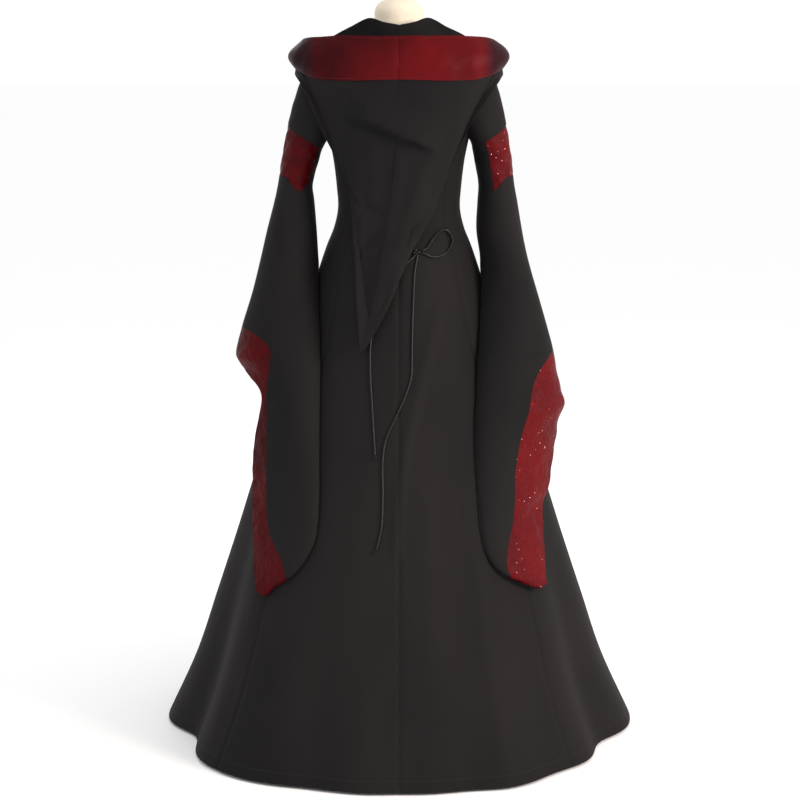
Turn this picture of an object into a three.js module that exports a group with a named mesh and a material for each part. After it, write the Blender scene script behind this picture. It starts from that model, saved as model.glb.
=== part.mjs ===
import * as THREE from "three";

// A hooded gown in the medieval style on a headless dress form, seen best from the back. Millimetres.
// X runs to the wearer's left, Y to the back, Z up from the floor under the form's base plate.

// Cloth and seams
const CLOTH = 2;
const SEAM_GAP = 0.4;
const DEGREE = Math.PI / 180;

// The gown's levels: half width at the sides, depth to the back and to the front of the form's axis, and
// how the section rounds off: 1 is an ellipse, and less is a fuller shoulder or hip.
const GOWN = [
  { at: 5, half: 490, back: 485, front: 468, round: 1 },
  { at: 140, half: 428, back: 424, front: 408, round: 1 },
  { at: 273, half: 383, back: 378, front: 362, round: 1 },
  { at: 408, half: 338, back: 334, front: 318, round: 1 },
  { at: 540, half: 296, back: 292, front: 276, round: 1 },
  { at: 680, half: 249, back: 246, front: 230, round: 1 },
  { at: 800, half: 211, back: 209, front: 192, round: 1 },
  { at: 880, half: 187, back: 184, front: 166, round: 1 },
  { at: 941, half: 168, back: 162, front: 146, round: 1 },
  { at: 1003, half: 147, back: 134, front: 124, round: 0.97 },
  { at: 1040, half: 132, back: 112, front: 110, round: 0.95 },
  { at: 1080, half: 123.5, back: 98, front: 101, round: 0.93 },
  { at: 1120, half: 125.5, back: 96, front: 105, round: 0.92 },
  { at: 1177, half: 132, back: 103, front: 122, round: 0.9 },
  { at: 1222, half: 141, back: 108, front: 132, round: 0.88 },
  { at: 1265, half: 150, back: 110, front: 129, round: 0.86 },
  { at: 1310, half: 160, back: 106, front: 112, round: 0.85 },
  { at: 1345, half: 169, back: 92, front: 93, round: 0.86 },
  { at: 1368, half: 170, back: 76, front: 76, round: 0.88 },
  { at: 1385, half: 156, back: 64, front: 64, round: 0.9 },
  { at: 1405, half: 124, back: 56, front: 58, round: 0.93 },
  { at: 1425, half: 91, back: 53, front: 55, round: 0.97 },
  { at: 1440, half: 68, back: 52, front: 54, round: 1 },
];
const HEM_LEVEL = 5;
const NECK_LEVEL = 1440;
const GOWN_SHOULDER = 1365;

// Folds of the skirt, by their turn in degrees from the wearer's left side, towards the back: how far the
// hem stands out (or in) there, how wide the fold is, and the height where it fades away.
const FOLDS = [
  { at: 21, out: -44, wide: 10, from: 640 },
  { at: 50, out: 16, wide: 14, from: 520 },
  { at: 70, out: -7, wide: 7, from: 420 },
  { at: 90, out: -6, wide: 6, from: 700 },
  { at: 104, out: -6, wide: 8, from: 500 },
  { at: 117, out: 9, wide: 8, from: 900 },
  { at: 131, out: -10, wide: 8, from: 560 },
  { at: 154, out: -38, wide: 10, from: 640 },
  { at: 205, out: 10, wide: 10, from: 560 },
  { at: 222, out: -26, wide: 9, from: 640 },
  { at: 246, out: 10, wide: 9, from: 600 },
  { at: 264, out: -20, wide: 9, from: 560 },
  { at: 284, out: 10, wide: 9, from: 620 },
  { at: 303, out: -28, wide: 9, from: 640 },
  { at: 330, out: 9, wide: 11, from: 520 },
];

// Each armhole is an oval on the gown's side, and the front neckline is a scoop
const ARMHOLE = { level: 1297, halfHeight: 76, halfTurn: 32, columns: 18 };
const ARMHOLE_TRIM = { gown: 1.1, sleeve: 1.7 };
const SCOOP = { deep: 105, halfTurn: 75 };

// The sleeves hang from the armholes and lie on the skirt's back flanks. At each level: the inner fold, the
// outer edge, how deep the sleeve is, and how far it closes (180 is a tube, and less is open at its outer
// edge). The hem tables hold the hem band's seam on the back and on the front layer and its free edge, as
// shares of the way to the outer edge.
const SLEEVE_LEFT = [
  { at: 332, innerX: 262, innerY: 262, outerX: 276, outerY: 254, deep: 26, shut: 100 },
  { at: 355, innerX: 242, innerY: 272, outerX: 282, outerY: 244, deep: 36, shut: 100 },
  { at: 376, innerX: 214, innerY: 286, outerX: 287, outerY: 230, deep: 46, shut: 100 },
  { at: 405, innerX: 189, innerY: 292, outerX: 291, outerY: 210, deep: 58, shut: 100 },
  { at: 442, innerX: 168, innerY: 288, outerX: 295, outerY: 190, deep: 70, shut: 100 },
  { at: 480, innerX: 160, innerY: 276, outerX: 297, outerY: 172, deep: 80, shut: 102 },
  { at: 518, innerX: 158, innerY: 263, outerX: 298, outerY: 158, deep: 88, shut: 105 },
  { at: 557, innerX: 157, innerY: 248, outerX: 298, outerY: 144, deep: 96, shut: 110 },
  { at: 615, innerX: 157, innerY: 225, outerX: 303, outerY: 122, deep: 106, shut: 120 },
  { at: 673, innerX: 157, innerY: 201, outerX: 309, outerY: 100, deep: 116, shut: 132 },
  { at: 722, innerX: 157, innerY: 181, outerX: 315, outerY: 78, deep: 124, shut: 146 },
  { at: 760, innerX: 157, innerY: 165, outerX: 318, outerY: 58, deep: 130, shut: 160 },
  { at: 787, innerX: 157, innerY: 153, outerX: 322, outerY: 50, deep: 134, shut: 180 },
  { at: 812, innerX: 158, innerY: 141, outerX: 319, outerY: 47, deep: 136, shut: 180 },
  { at: 846, innerX: 159, innerY: 124, outerX: 311, outerY: 42, deep: 136, shut: 180 },
  { at: 910, innerX: 162, innerY: 84, outerX: 294, outerY: 30, deep: 134, shut: 180 },
  { at: 973, innerX: 166, innerY: 44, outerX: 281, outerY: 20, deep: 130, shut: 180 },
  { at: 1035, innerX: 169, innerY: 20, outerX: 268, outerY: 12, deep: 118, shut: 180 },
  { at: 1095, innerX: 174, innerY: 6, outerX: 253, outerY: 5, deep: 102, shut: 180 },
  { at: 1128, innerX: 177, innerY: 2, outerX: 246, outerY: 2, deep: 94, shut: 180 },
  { at: 1190, innerX: 160, innerY: 2, outerX: 236, outerY: 2, deep: 98, shut: 180 },
];
const HEM_LEFT = [
  { at: 332, back: 0, front: 0, hem: 1 },
  { at: 355, back: 0, front: 0, hem: 1 },
  { at: 376, back: 0.08, front: 0.12, hem: 1 },
  { at: 405, back: 0.32, front: 0.3, hem: 0.98 },
  { at: 442, back: 0.6, front: 0.42, hem: 0.97 },
  { at: 480, back: 0.685, front: 0.48, hem: 0.96 },
  { at: 518, back: 0.695, front: 0.5, hem: 0.96 },
  { at: 557, back: 0.69, front: 0.5, hem: 0.96 },
  { at: 615, back: 0.64, front: 0.52, hem: 0.88 },
  { at: 673, back: 0.575, front: 0.54, hem: 0.72 },
  { at: 722, back: 0.53, front: 0.56, hem: 0.61 },
  { at: 760, back: 0.45, front: 0.58, hem: 0.84 },
  { at: 787, back: 0.39, front: 0.6, hem: 1 },
  { at: 812, back: 0.39, front: 0.6, hem: 1 },
  { at: 846, back: 0.4, front: 0.6, hem: 1 },
];
const SLEEVE_RIGHT = [
  { at: 343, innerX: 276, innerY: 248, outerX: 293, outerY: 240, deep: 28, shut: 100 },
  { at: 360, innerX: 246, innerY: 268, outerX: 291, outerY: 232, deep: 38, shut: 100 },
  { at: 379, innerX: 211, innerY: 286, outerX: 289, outerY: 222, deep: 48, shut: 100 },
  { at: 398, innerX: 188, innerY: 292, outerX: 286, outerY: 210, deep: 58, shut: 100 },
  { at: 428, innerX: 170, innerY: 290, outerX: 284, outerY: 194, deep: 70, shut: 102 },
  { at: 470, innerX: 160, innerY: 280, outerX: 287, outerY: 174, deep: 82, shut: 106 },
  { at: 503, innerX: 157, innerY: 270, outerX: 290, outerY: 162, deep: 90, shut: 112 },
  { at: 526, innerX: 154, innerY: 262, outerX: 301, outerY: 150, deep: 96, shut: 118 },
  { at: 581, innerX: 151, innerY: 242, outerX: 310, outerY: 126, deep: 106, shut: 130 },
  { at: 639, innerX: 149, innerY: 220, outerX: 320, outerY: 102, deep: 116, shut: 150 },
  { at: 692, innerX: 151, innerY: 198, outerX: 327, outerY: 80, deep: 124, shut: 180 },
  { at: 720, innerX: 153, innerY: 184, outerX: 320, outerY: 68, deep: 128, shut: 180 },
  { at: 757, innerX: 154, innerY: 168, outerX: 310, outerY: 58, deep: 132, shut: 180 },
  { at: 800, innerX: 158, innerY: 148, outerX: 302, outerY: 48, deep: 134, shut: 180 },
  { at: 853, innerX: 162, innerY: 116, outerX: 289, outerY: 40, deep: 134, shut: 180 },
  { at: 910, innerX: 167, innerY: 82, outerX: 274, outerY: 30, deep: 132, shut: 180 },
  { at: 973, innerX: 169, innerY: 42, outerX: 261, outerY: 20, deep: 126, shut: 180 },
  { at: 1035, innerX: 160, innerY: 20, outerX: 250, outerY: 12, deep: 116, shut: 180 },
  { at: 1095, innerX: 162, innerY: 6, outerX: 240, outerY: 5, deep: 102, shut: 180 },
  { at: 1128, innerX: 163, innerY: 2, outerX: 234, outerY: 2, deep: 94, shut: 180 },
  { at: 1190, innerX: 152, innerY: 2, outerX: 227, outerY: 2, deep: 98, shut: 180 },
];
const HEM_RIGHT = [
  { at: 343, back: 0, front: 0, hem: 1 },
  { at: 360, back: 0, front: 0, hem: 1 },
  { at: 379, back: 0.06, front: 0.12, hem: 1 },
  { at: 398, back: 0.16, front: 0.24, hem: 1 },
  { at: 428, back: 0.28, front: 0.34, hem: 1 },
  { at: 470, back: 0.39, front: 0.42, hem: 1 },
  { at: 503, back: 0.415, front: 0.46, hem: 1 },
  { at: 526, back: 0.395, front: 0.48, hem: 1 },
  { at: 581, back: 0.375, front: 0.5, hem: 1 },
  { at: 639, back: 0.39, front: 0.52, hem: 1 },
  { at: 692, back: 0.41, front: 0.55, hem: 1 },
  { at: 720, back: 0.435, front: 0.56, hem: 1 },
  { at: 757, back: 0.46, front: 0.56, hem: 1 },
  { at: 800, back: 0.5, front: 0.56, hem: 1 },
];
// Where each sleeve is cut: the wrist point of its hem, the top of its hem band and the last level of its
// black cloth, and the two seams of its arm band, as turns from the inner fold (0) to the outer edge (1).
const CUTS_LEFT = {
  wrist: 787,
  bandTop: 846,
  bandFlat: 800,
  blackEnd: 376,
  tip: 332,
  bandBack: 0.2,
  bandFront: 0.2,
};
const CUTS_RIGHT = {
  wrist: 692,
  bandTop: 800,
  bandFlat: 715,
  blackEnd: 379,
  tip: 343,
  bandBack: 0.43,
  bandFront: 0.16,
};
const BAND_CURVE_STEPS = 5;
const OFF_SKIRT = { front: 7, back: 14 };
const CAP_LEVEL = 1190;
const CAP_RISE = 180;
const ARM_BAND = { top: 1240, low: 1146, point: 30, pointTurn: 0.4, pointWide: 0.2 };

// The hood lies thrown back, a pocket open at the top. Its stations run from the centre back over the
// shoulder to the centre front: the seam under the satin band, the band's free face edge, the crest where
// the hood's neck part rolls over, and the seam on the gown's neckline.
const HOOD_BAND = [
  { at: 0, seamX: 0, seamY: 132, seamZ: 1338, faceX: 0, faceY: 112, faceZ: 1423 },
  { at: 0.14, seamX: 50, seamY: 131, seamZ: 1337, faceX: 48, faceY: 111, faceZ: 1423 },
  { at: 0.28, seamX: 101, seamY: 124, seamZ: 1336, faceX: 95, faceY: 104, faceZ: 1424 },
  { at: 0.42, seamX: 149, seamY: 108, seamZ: 1338, faceX: 139, faceY: 89, faceZ: 1423 },
  { at: 0.55, seamX: 182, seamY: 82, seamZ: 1346, faceX: 174, faceY: 64, faceZ: 1420 },
  { at: 0.66, seamX: 203, seamY: 48, seamZ: 1357, faceX: 191, faceY: 34, faceZ: 1417 },
  { at: 0.76, seamX: 209, seamY: 6, seamZ: 1364, faceX: 188, faceY: -2, faceZ: 1413 },
  { at: 0.86, seamX: 184, seamY: -50, seamZ: 1350, faceX: 160, faceY: -46, faceZ: 1398 },
  { at: 0.94, seamX: 106, seamY: -112, seamZ: 1306, faceX: 88, faceY: -102, faceZ: 1360 },
  { at: 1, seamX: 4, seamY: -142, seamZ: 1250, faceX: 3.5, faceY: -134, faceZ: 1312 },
];
const HOOD_INSIDE = [
  { at: 0, crestX: 0, crestY: 78, crestZ: 1445, neckX: 0, neckY: 62, neckZ: 1437 },
  { at: 0.14, crestX: 30, crestY: 74, crestZ: 1451, neckX: 30, neckY: 56, neckZ: 1440 },
  { at: 0.28, crestX: 60, crestY: 60, crestZ: 1459, neckX: 55, neckY: 42, neckZ: 1443 },
  { at: 0.42, crestX: 96, crestY: 42, crestZ: 1442, neckX: 74, neckY: 22, neckZ: 1445 },
  { at: 0.55, crestX: 124, crestY: 24, crestZ: 1428, neckX: 80, neckY: 4, neckZ: 1444 },
  { at: 0.66, crestX: 134, crestY: 2, crestZ: 1421, neckX: 78, neckY: -14, neckZ: 1440 },
  { at: 0.76, crestX: 130, crestY: -24, crestZ: 1413, neckX: 72, neckY: -32, neckZ: 1434 },
  { at: 0.86, crestX: 108, crestY: -56, crestZ: 1396, neckX: 64, neckY: -56, neckZ: 1418 },
  { at: 0.94, crestX: 64, crestY: -92, crestZ: 1370, neckX: 50, neckY: -84, neckZ: 1388 },
  { at: 1, crestX: 3, crestY: -124, crestZ: 1334, neckX: 3, neckY: -116, neckZ: 1350 },
];
// The hood's bottom fold on each side, from the tip of its tail up to the shoulder and round to the front
const FOLD_LEFT = [
  { at: 0, x: 75, y: 214, z: 810 },
  { at: 0.1, x: 80, y: 198, z: 866 },
  { at: 0.2, x: 85, y: 172, z: 936 },
  { at: 0.3, x: 91, y: 122, z: 1030 },
  { at: 0.38, x: 88, y: 104, z: 1100 },
  { at: 0.44, x: 102, y: 94, z: 1140 },
  { at: 0.5, x: 126, y: 86, z: 1186 },
  { at: 0.57, x: 157, y: 86, z: 1244 },
  { at: 0.64, x: 190, y: 74, z: 1322 },
  { at: 0.7, x: 205, y: 38, z: 1342 },
  { at: 0.78, x: 208, y: -5, z: 1350 },
  { at: 0.86, x: 183, y: -49, z: 1330 },
  { at: 0.94, x: 105, y: -109, z: 1286 },
  { at: 1, x: 4, y: -139, z: 1228 },
];
const FOLD_RIGHT = [
  { at: 0, x: -75, y: 214, z: 810 },
  { at: 0.1, x: -55, y: 208, z: 836 },
  { at: 0.2, x: -20, y: 192, z: 900 },
  { at: 0.28, x: 8, y: 164, z: 964 },
  { at: 0.34, x: 34, y: 136, z: 1018 },
  { at: 0.41, x: 72, y: 108, z: 1080 },
  { at: 0.47, x: 92, y: 98, z: 1138 },
  { at: 0.53, x: 114, y: 88, z: 1192 },
  { at: 0.59, x: 146, y: 88, z: 1256 },
  { at: 0.65, x: 191, y: 72, z: 1324 },
  { at: 0.7, x: 205, y: 38, z: 1342 },
  { at: 0.78, x: 208, y: -5, z: 1350 },
  { at: 0.86, x: 183, y: -49, z: 1330 },
  { at: 0.94, x: 105, y: -109, z: 1286 },
  { at: 1, x: 4, y: -139, z: 1228 },
];
const HOOD_PUFF = { back: 8, side: 20 };
const HOOD_CLEAR = { inner: 11.5, fold: 12, outer: 19, sleeve: 72, chest: 6 };
const HOOD_NECK_SHARE = 1.84;
const HOOD_SHOULDER = 0.6;
const HOOD_SWING = 1.8;
const HOOD_SAG = 12;
const HOOD_RISE = 9;
const HOOD_TUCK = 2.6;
const HOOD_TIP_TRIM = 7;

// The dress form: a smooth torso with no head or limbs, inside the gown, on a pole and a round plate
const FORM = [
  { at: 780, half: 138, back: 106, front: 92, round: 0.95 },
  { at: 850, half: 154, back: 120, front: 102, round: 0.95 },
  { at: 920, half: 153, back: 121, front: 104, round: 0.95 },
  { at: 980, half: 138, back: 110, front: 102, round: 0.95 },
  { at: 1030, half: 122, back: 94, front: 98, round: 0.94 },
  { at: 1080, half: 114, back: 86, front: 93, round: 0.93 },
  { at: 1125, half: 117, back: 87, front: 98, round: 0.92 },
  { at: 1177, half: 126, back: 96, front: 115, round: 0.9 },
];
const FORM_CLEAR = 2.5;
const FORM_DROP = 1.2;
const FORM_COLUMNS = 24;
const NECK = [
  { at: 1449, half: 56, back: 50, front: 52, round: 1 },
  { at: 1458, half: 50, back: 47, front: 48, round: 1 },
  { at: 1474, half: 49, back: 46, front: 47, round: 1 },
  { at: 1485, half: 45, back: 42, front: 43, round: 1 },
  { at: 1493, half: 36, back: 34, front: 35, round: 1 },
  { at: 1498, half: 22, back: 21, front: 21, round: 1 },
  { at: 1500, half: 8, back: 8, front: 8, round: 1 },
];
const POLE_RADIUS = 16;
const BASE = { radius: 180, thick: 12, edge: 3 };

// The lacing's bow at the back waist: a knot, the loop that shows and two tails of satin cord
const CORD = 3.6;
const KNOT = { x: -34, z: 1002, wide: 17, high: 13, deep: 10 };
const LOOP = [
  { x: -42.8, z: 1004.3, out: 6 },
  { x: -50, z: 1007, out: 6 },
  { x: -62, z: 1024, out: 5 },
  { x: -78, z: 1040, out: 4.2 },
  { x: -93, z: 1039, out: 3.6 },
  { x: -102, z: 1024, out: 3.4 },
  { x: -98, z: 1006, out: 3.4 },
  { x: -84, z: 994, out: 3.6 },
  { x: -64, z: 991, out: 4.4 },
  { x: -50, z: 996.5, out: 5.6 },
  { x: -42.8, z: 999.7, out: 6 },
];
const TAIL_LONG = [
  { x: -34.6, z: 994.6, out: 3.4 },
  { x: -30, z: 960, out: 2.6 },
  { x: -28, z: 910, out: 2.6 },
  { x: -26, z: 853, out: 2.6 },
  { x: -25, z: 796, out: 2.6 },
  { x: -24, z: 764, out: 2.6 },
  { x: -12, z: 726, out: 2.6 },
  { x: 8, z: 683, out: 2.6 },
  { x: 25, z: 645, out: 2.6 },
  { x: 31, z: 608, out: 2.6 },
  { x: 31, z: 533, out: 2.6 },
  { x: 34, z: 478, out: 2.6 },
  { x: 43, z: 441, out: 2.6 },
];
const TAIL_SHORT = [
  { x: -29.7, z: 994.4, out: 3.4 },
  { x: -8, z: 972, out: 2.6 },
  { x: 14, z: 936, out: 2.6 },
  { x: 36, z: 890, out: 2.6 },
  { x: 50, z: 850, out: 2.6 },
  { x: 55, z: 824, out: 2.6 },
  { x: 55, z: 757, out: 2.6 },
  { x: 52, z: 710, out: 2.6 },
  { x: 49, z: 663, out: 2.6 },
  { x: 46, z: 617, out: 2.6 },
];
const TAIL_STEP = 17;
const END_KNOT = { radius: 3.4, long: 9 };

// Finishes
const COLOURS = {
  black: { color: 0x262428, roughness: 0.62, metalness: 0 },
  red: { color: 0x6e1a24, roughness: 0.42, metalness: 0 },
  cord: { color: 0x1c1b1e, roughness: 0.35, metalness: 0 },
  cover: { color: 0xe8dcc8, roughness: 0.85, metalness: 0 },
  stand: { color: 0x2c2c2e, roughness: 0.4, metalness: 0.7 },
};

const point = (x, y, z) => new THREE.Vector3(x, y, z);
const mix = (a, b, share) => a + (b - a) * share;
const clamp = (value, low, high) => Math.min(Math.max(value, low), high);
const bell = (value) => Math.exp(-value * value);

// One column of a table, read at a place between its rows on a smooth curve through them
function along(table, column, at) {
  let row = 0;
  while (row < table.length - 2 && at > table[row + 1].at) row += 1;
  const [low, high] = [table[row], table[row + 1]];
  const before = table[Math.max(row - 1, 0)];
  const after = table[Math.min(row + 2, table.length - 1)];
  const slope = (a, b) => (b[column] - a[column]) / (b.at - a.at);
  const step = high.at - low.at;
  const t = clamp((at - low.at) / step, 0, 1);
  const lowSlope = slope(before, high) * step;
  const highSlope = slope(low, after) * step;
  return (
    (2 * t ** 3 - 3 * t ** 2 + 1) * low[column] +
    (t ** 3 - 2 * t ** 2 + t) * lowSlope +
    (3 * t ** 2 - 2 * t ** 3) * high[column] +
    (t ** 3 - t ** 2) * highSlope
  );
}

// A point of a section from a table of levels, at a turn in radians from the wearer's left to the back
function sectionPoint(table, turn, level, inset = 0) {
  const round = along(table, "round", level);
  const across = Math.cos(turn);
  const out = Math.sin(turn);
  const depth = along(table, out < 0 ? "front" : "back", level) - inset;
  const half = along(table, "half", level) - inset;
  return point(
    half * Math.sign(across) * Math.abs(across) ** round,
    depth * Math.sign(out) * Math.abs(out) ** round,
    level,
  );
}

function foldDepth(turn, level) {
  const degrees = turn / DEGREE;
  return FOLDS.filter((fold) => level < fold.from).reduce((sum, fold) => {
    const away = ((((degrees - fold.at) % 360) + 540) % 360) - 180;
    return sum + fold.out * (1 - level / fold.from) ** 1.3 * bell(away / fold.wide);
  }, 0);
}

// The gown's surface. Levels above the chest are squeezed down to the front neckline's scoop.
function gown(turn, level) {
  const degrees = (((turn / DEGREE) % 360) + 360) % 360;
  const fromFront = Math.min(Math.abs(degrees - 270) / SCOOP.halfTurn, 1);
  const top = NECK_LEVEL - SCOOP.deep * Math.cos((fromFront * Math.PI) / 2) ** 2;
  const squeezed = 1300 + ((level - 1300) * (top - 1300)) / (NECK_LEVEL - 1300);
  const height = level > 1300 ? squeezed : level;
  const p = sectionPoint(GOWN, turn, height);
  const out = foldDepth(turn, height) / Math.hypot(p.x, p.y);
  return point(p.x * (1 + out), p.y * (1 + out), height);
}

// The gown's back surface over a place across the back, and a push that keeps a point outside the skirt
function backOf(x, level) {
  const half = along(GOWN, "half", level);
  const round = along(GOWN, "round", level);
  const across = Math.min(Math.abs(x) / half, 1) ** (1 / round);
  return along(GOWN, "back", level) * Math.sqrt(1 - across * across) ** round;
}

function offTheSkirt(p, clear) {
  const turn = Math.atan2(p.y / along(GOWN, "back", p.z), p.x / along(GOWN, "half", p.z));
  const skirt = gown(turn, p.z);
  const reach = Math.hypot(skirt.x, skirt.y) + clear;
  const now = Math.hypot(p.x, p.y);
  return now < reach ? point((p.x * reach) / now, (p.y * reach) / now, p.z) : p;
}

// The sleeve's surface, for the wearer's left side. Turn 0 is the inner fold and 1 the outer edge, plus on
// the back layer and minus on the front. Levels above the cap level run up to the armhole.
function sleeve(table, turn, level) {
  const shut = level > CAP_LEVEL ? 180 : clamp(along(table, "shut", level), 0, 180);
  let side = turn;
  if (shut > 179.9 && Math.abs(turn) > 1) side = turn - 2 * Math.sign(turn);
  return level > CAP_LEVEL ? sleeveCap(table, side, level) : sleeveHang(table, side, level, shut);
}

function sleeveHang(table, turn, level, shut) {
  const end = shut * DEGREE;
  const angle = Math.abs(turn) * end;
  const share = (1 - Math.cos(angle)) / (1 - Math.cos(end));
  const inner = point(along(table, "innerX", level), along(table, "innerY", level), level);
  const outer = point(along(table, "outerX", level), along(table, "outerY", level), level);
  const across = outer.clone().sub(inner).normalize();
  const back = point(-across.y, across.x, 0);
  const deep = along(table, "deep", level);
  const crown = (deep / 2) * (Math.sin(angle) - share * Math.sin(end));
  const layer = turn < 0 ? crown - deep * Math.sin(angle) : crown;
  const p = inner.lerp(outer, share).addScaledVector(back, layer);
  const lift = OFF_SKIRT.front + (turn < 0 ? 0 : OFF_SKIRT.back * Math.sin(Math.min(angle, Math.PI / 2)));
  return level < 1040 ? offTheSkirt(p, lift) : p;
}

function armholePoint(turn) {
  const swing = Math.PI * (1 - Math.abs(turn)) * (turn < 0 ? -1 : 1);
  const level = ARMHOLE.level + ARMHOLE.halfHeight * Math.cos(swing);
  return gown(ARMHOLE.halfTurn * DEGREE * Math.sin(swing), level);
}

function sleeveCap(table, turn, level) {
  const way = 1 - (level - CAP_LEVEL) / CAP_RISE;
  const top = Math.abs(turn) ** 2;
  const start = armholePoint(turn);
  const end = sleeveHang(table, turn, CAP_LEVEL, 180);
  const curve = new THREE.CubicBezierCurve3(
    start,
    start.clone().add(point(7 + 23 * top, 0, 0)),
    end.clone().add(point(-1 - 9 * top, 0, 6 + 54 * top)),
    end,
  );
  return curve.getPoint(way);
}

// A wall of cloth from rows of places on a surface. Each edge is drawn back by half a seam gap, or by its
// own trim, and a looped wall's last row joins its first.
function cloth(surface, rows, { steps, wall = CLOTH, loop = false, trims = {} }) {
  const at = ([u, v]) => surface(u, v);
  const drawnBack = (edge, inside, trim) => {
    const share = trim / at(edge).distanceTo(at(inside));
    return [mix(edge[0], inside[0], share), mix(edge[1], inside[1], share)];
  };
  const places = rows.map((row) => row.slice());
  const count = places.length;
  const across = places[0].length;
  const half = SEAM_GAP / 2;
  rows.forEach((row, i) => {
    places[i][0] = drawnBack(row[0], row[1], trims.left ? trims.left(row[0]) : half);
    const right = trims.right ? trims.right(row[0]) : half;
    places[i][across - 1] = drawnBack(row[across - 1], row[across - 2], right);
  });
  if (!loop) {
    const whole = places.map((row) => row.slice());
    for (let j = 0; j < across; j += 1) {
      const [first, last] = [whole[0][j], whole[count - 1][j]];
      places[0][j] = drawnBack(first, whole[1][j], trims.first ? trims.first(first) : half);
      places[count - 1][j] = drawnBack(last, whole[count - 2][j], trims.last ? trims.last(last) : half);
    }
  }
  const outer = [];
  const inner = [];
  places.forEach((row) =>
    row.forEach(([u, v]) => {
      const alongU = surface(u + steps[0], v).sub(surface(u - steps[0], v));
      const alongV = surface(u, v + steps[1]).sub(surface(u, v - steps[1]));
      const normal = alongU.cross(alongV).normalize();
      outer.push(surface(u, v).addScaledVector(normal, wall / 2));
      inner.push(surface(u, v).addScaledVector(normal, -wall / 2));
    }),
  );
  const id = (i, j) => (i % count) * across + j;
  const faces = [];
  const quad = (a, b, c, d) => faces.push(a, b, c, a, c, d);
  const shift = outer.length;
  const last = loop ? count : count - 1;
  for (let i = 0; i < last; i += 1) {
    for (let j = 0; j < across - 1; j += 1) {
      const [a, b, c, d] = [id(i, j), id(i, j + 1), id(i + 1, j + 1), id(i + 1, j)];
      quad(a, b, c, d);
      // Both sides turn on the same diagonal, so a twisted wall never crosses itself
      quad(c + shift, b + shift, a + shift, d + shift);
    }
    const [a, d] = [id(i, 0), id(i + 1, 0)];
    quad(a, d, d + shift, a + shift);
    const [b, c] = [id(i, across - 1), id(i + 1, across - 1)];
    quad(c, b, b + shift, c + shift);
  }
  if (!loop) {
    for (let j = 0; j < across - 1; j += 1) {
      const [a, b] = [id(0, j), id(0, j + 1)];
      quad(b, a, a + shift, b + shift);
      const [d, c] = [id(count - 1, j), id(count - 1, j + 1)];
      quad(d, c, c + shift, d + shift);
    }
  }
  return solid([...outer, ...inner], faces);
}

// A closed mesh with its faces turned outwards
function solid(points, faces) {
  const flat = points.flatMap((p) => [p.x, p.y, p.z]);
  let volume = 0;
  for (let i = 0; i < faces.length; i += 3) {
    const [a, b, c] = [points[faces[i]], points[faces[i + 1]], points[faces[i + 2]]];
    volume += a.dot(b.clone().cross(c));
  }
  const turned = volume < 0 ? faces.map((_, i) => faces[i - (i % 3) + 2 - (i % 3)]) : faces;
  const geometry = new THREE.BufferGeometry();
  geometry.setAttribute("position", new THREE.Float32BufferAttribute(flat, 3));
  geometry.setIndex(turned);
  geometry.computeVertexNormals();
  return geometry;
}

// A closed stack of rings, each with the same number of points, with a flat end on the first and the last
function stacked(rings) {
  const count = rings[0].length;
  const points = rings.flat();
  const centre = (ring) => ring.reduce((sum, p) => sum.add(p), point(0, 0, 0)).divideScalar(count);
  const faces = [];
  for (let i = 0; i < rings.length - 1; i += 1) {
    for (let j = 0; j < count; j += 1) {
      const next = (j + 1) % count;
      const [a, b, c, d] = [i * count + j, i * count + next, (i + 1) * count + next, (i + 1) * count + j];
      faces.push(a, b, c, a, c, d);
    }
  }
  const [low, high] = [points.length, points.length + 1];
  points.push(centre(rings[0]), centre(rings[rings.length - 1]));
  for (let j = 0; j < count; j += 1) {
    const next = (j + 1) % count;
    const top = (rings.length - 1) * count;
    faces.push(low, next, j, high, top + j, top + next);
  }
  return solid(points, faces);
}

const part = new THREE.Group();
part.name = "hooded_gown_on_dress_form";

function add(name, geometry, finish) {
  const mesh = new THREE.Mesh(geometry, new THREE.MeshStandardMaterial(COLOURS[finish]));
  mesh.name = name;
  part.add(mesh);
}

const spread = (from, to, count) => Array.from({ length: count + 1 }, (_, i) => mix(from, to, i / count));

// The armhole's levels are those of the sleeve's columns, so that the two pieces meet point for point
const armholeHalf = ARMHOLE.columns / 2;
const armholeLevels = spread(180, 0, armholeHalf).map(
  (swing) => ARMHOLE.level + ARMHOLE.halfHeight * Math.cos(swing * DEGREE),
);
const skirtLevels = [HEM_LEVEL, 65, 140, 230, 330, 440, 550, 660, 760];
const bodiceLevels = [845, 910, 960, 1003, 1040, 1080, 1125, 1177];
const gownLevels = [...skirtLevels, ...bodiceLevels, ...armholeLevels, 1390, 1408, 1425, NECK_LEVEL];

function armholeTurn(level) {
  const up = (level - ARMHOLE.level) / ARMHOLE.halfHeight;
  return Math.abs(up) < 1 ? ARMHOLE.halfTurn * Math.sqrt(1 - up * up) : 0;
}

// The gown's gores, in turns round the form. A gore with an armhole gives way to it on its outer side.
const GORES = [
  { name: "back_left", from: 45, to: 90, columns: 6 },
  { name: "back_right", from: 90, to: 135, columns: 6 },
  { name: "side_back_left", from: 0, to: 45, columns: 6, armhole: "from" },
  { name: "side_back_right", from: 135, to: 180, columns: 6, armhole: "to" },
  { name: "side_front_right", from: 180, to: 225, columns: 6, armhole: "from" },
  { name: "side_front_left", from: 315, to: 360, columns: 6, armhole: "to" },
  { name: "front", from: 225, to: 315, columns: 12 },
];

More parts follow.
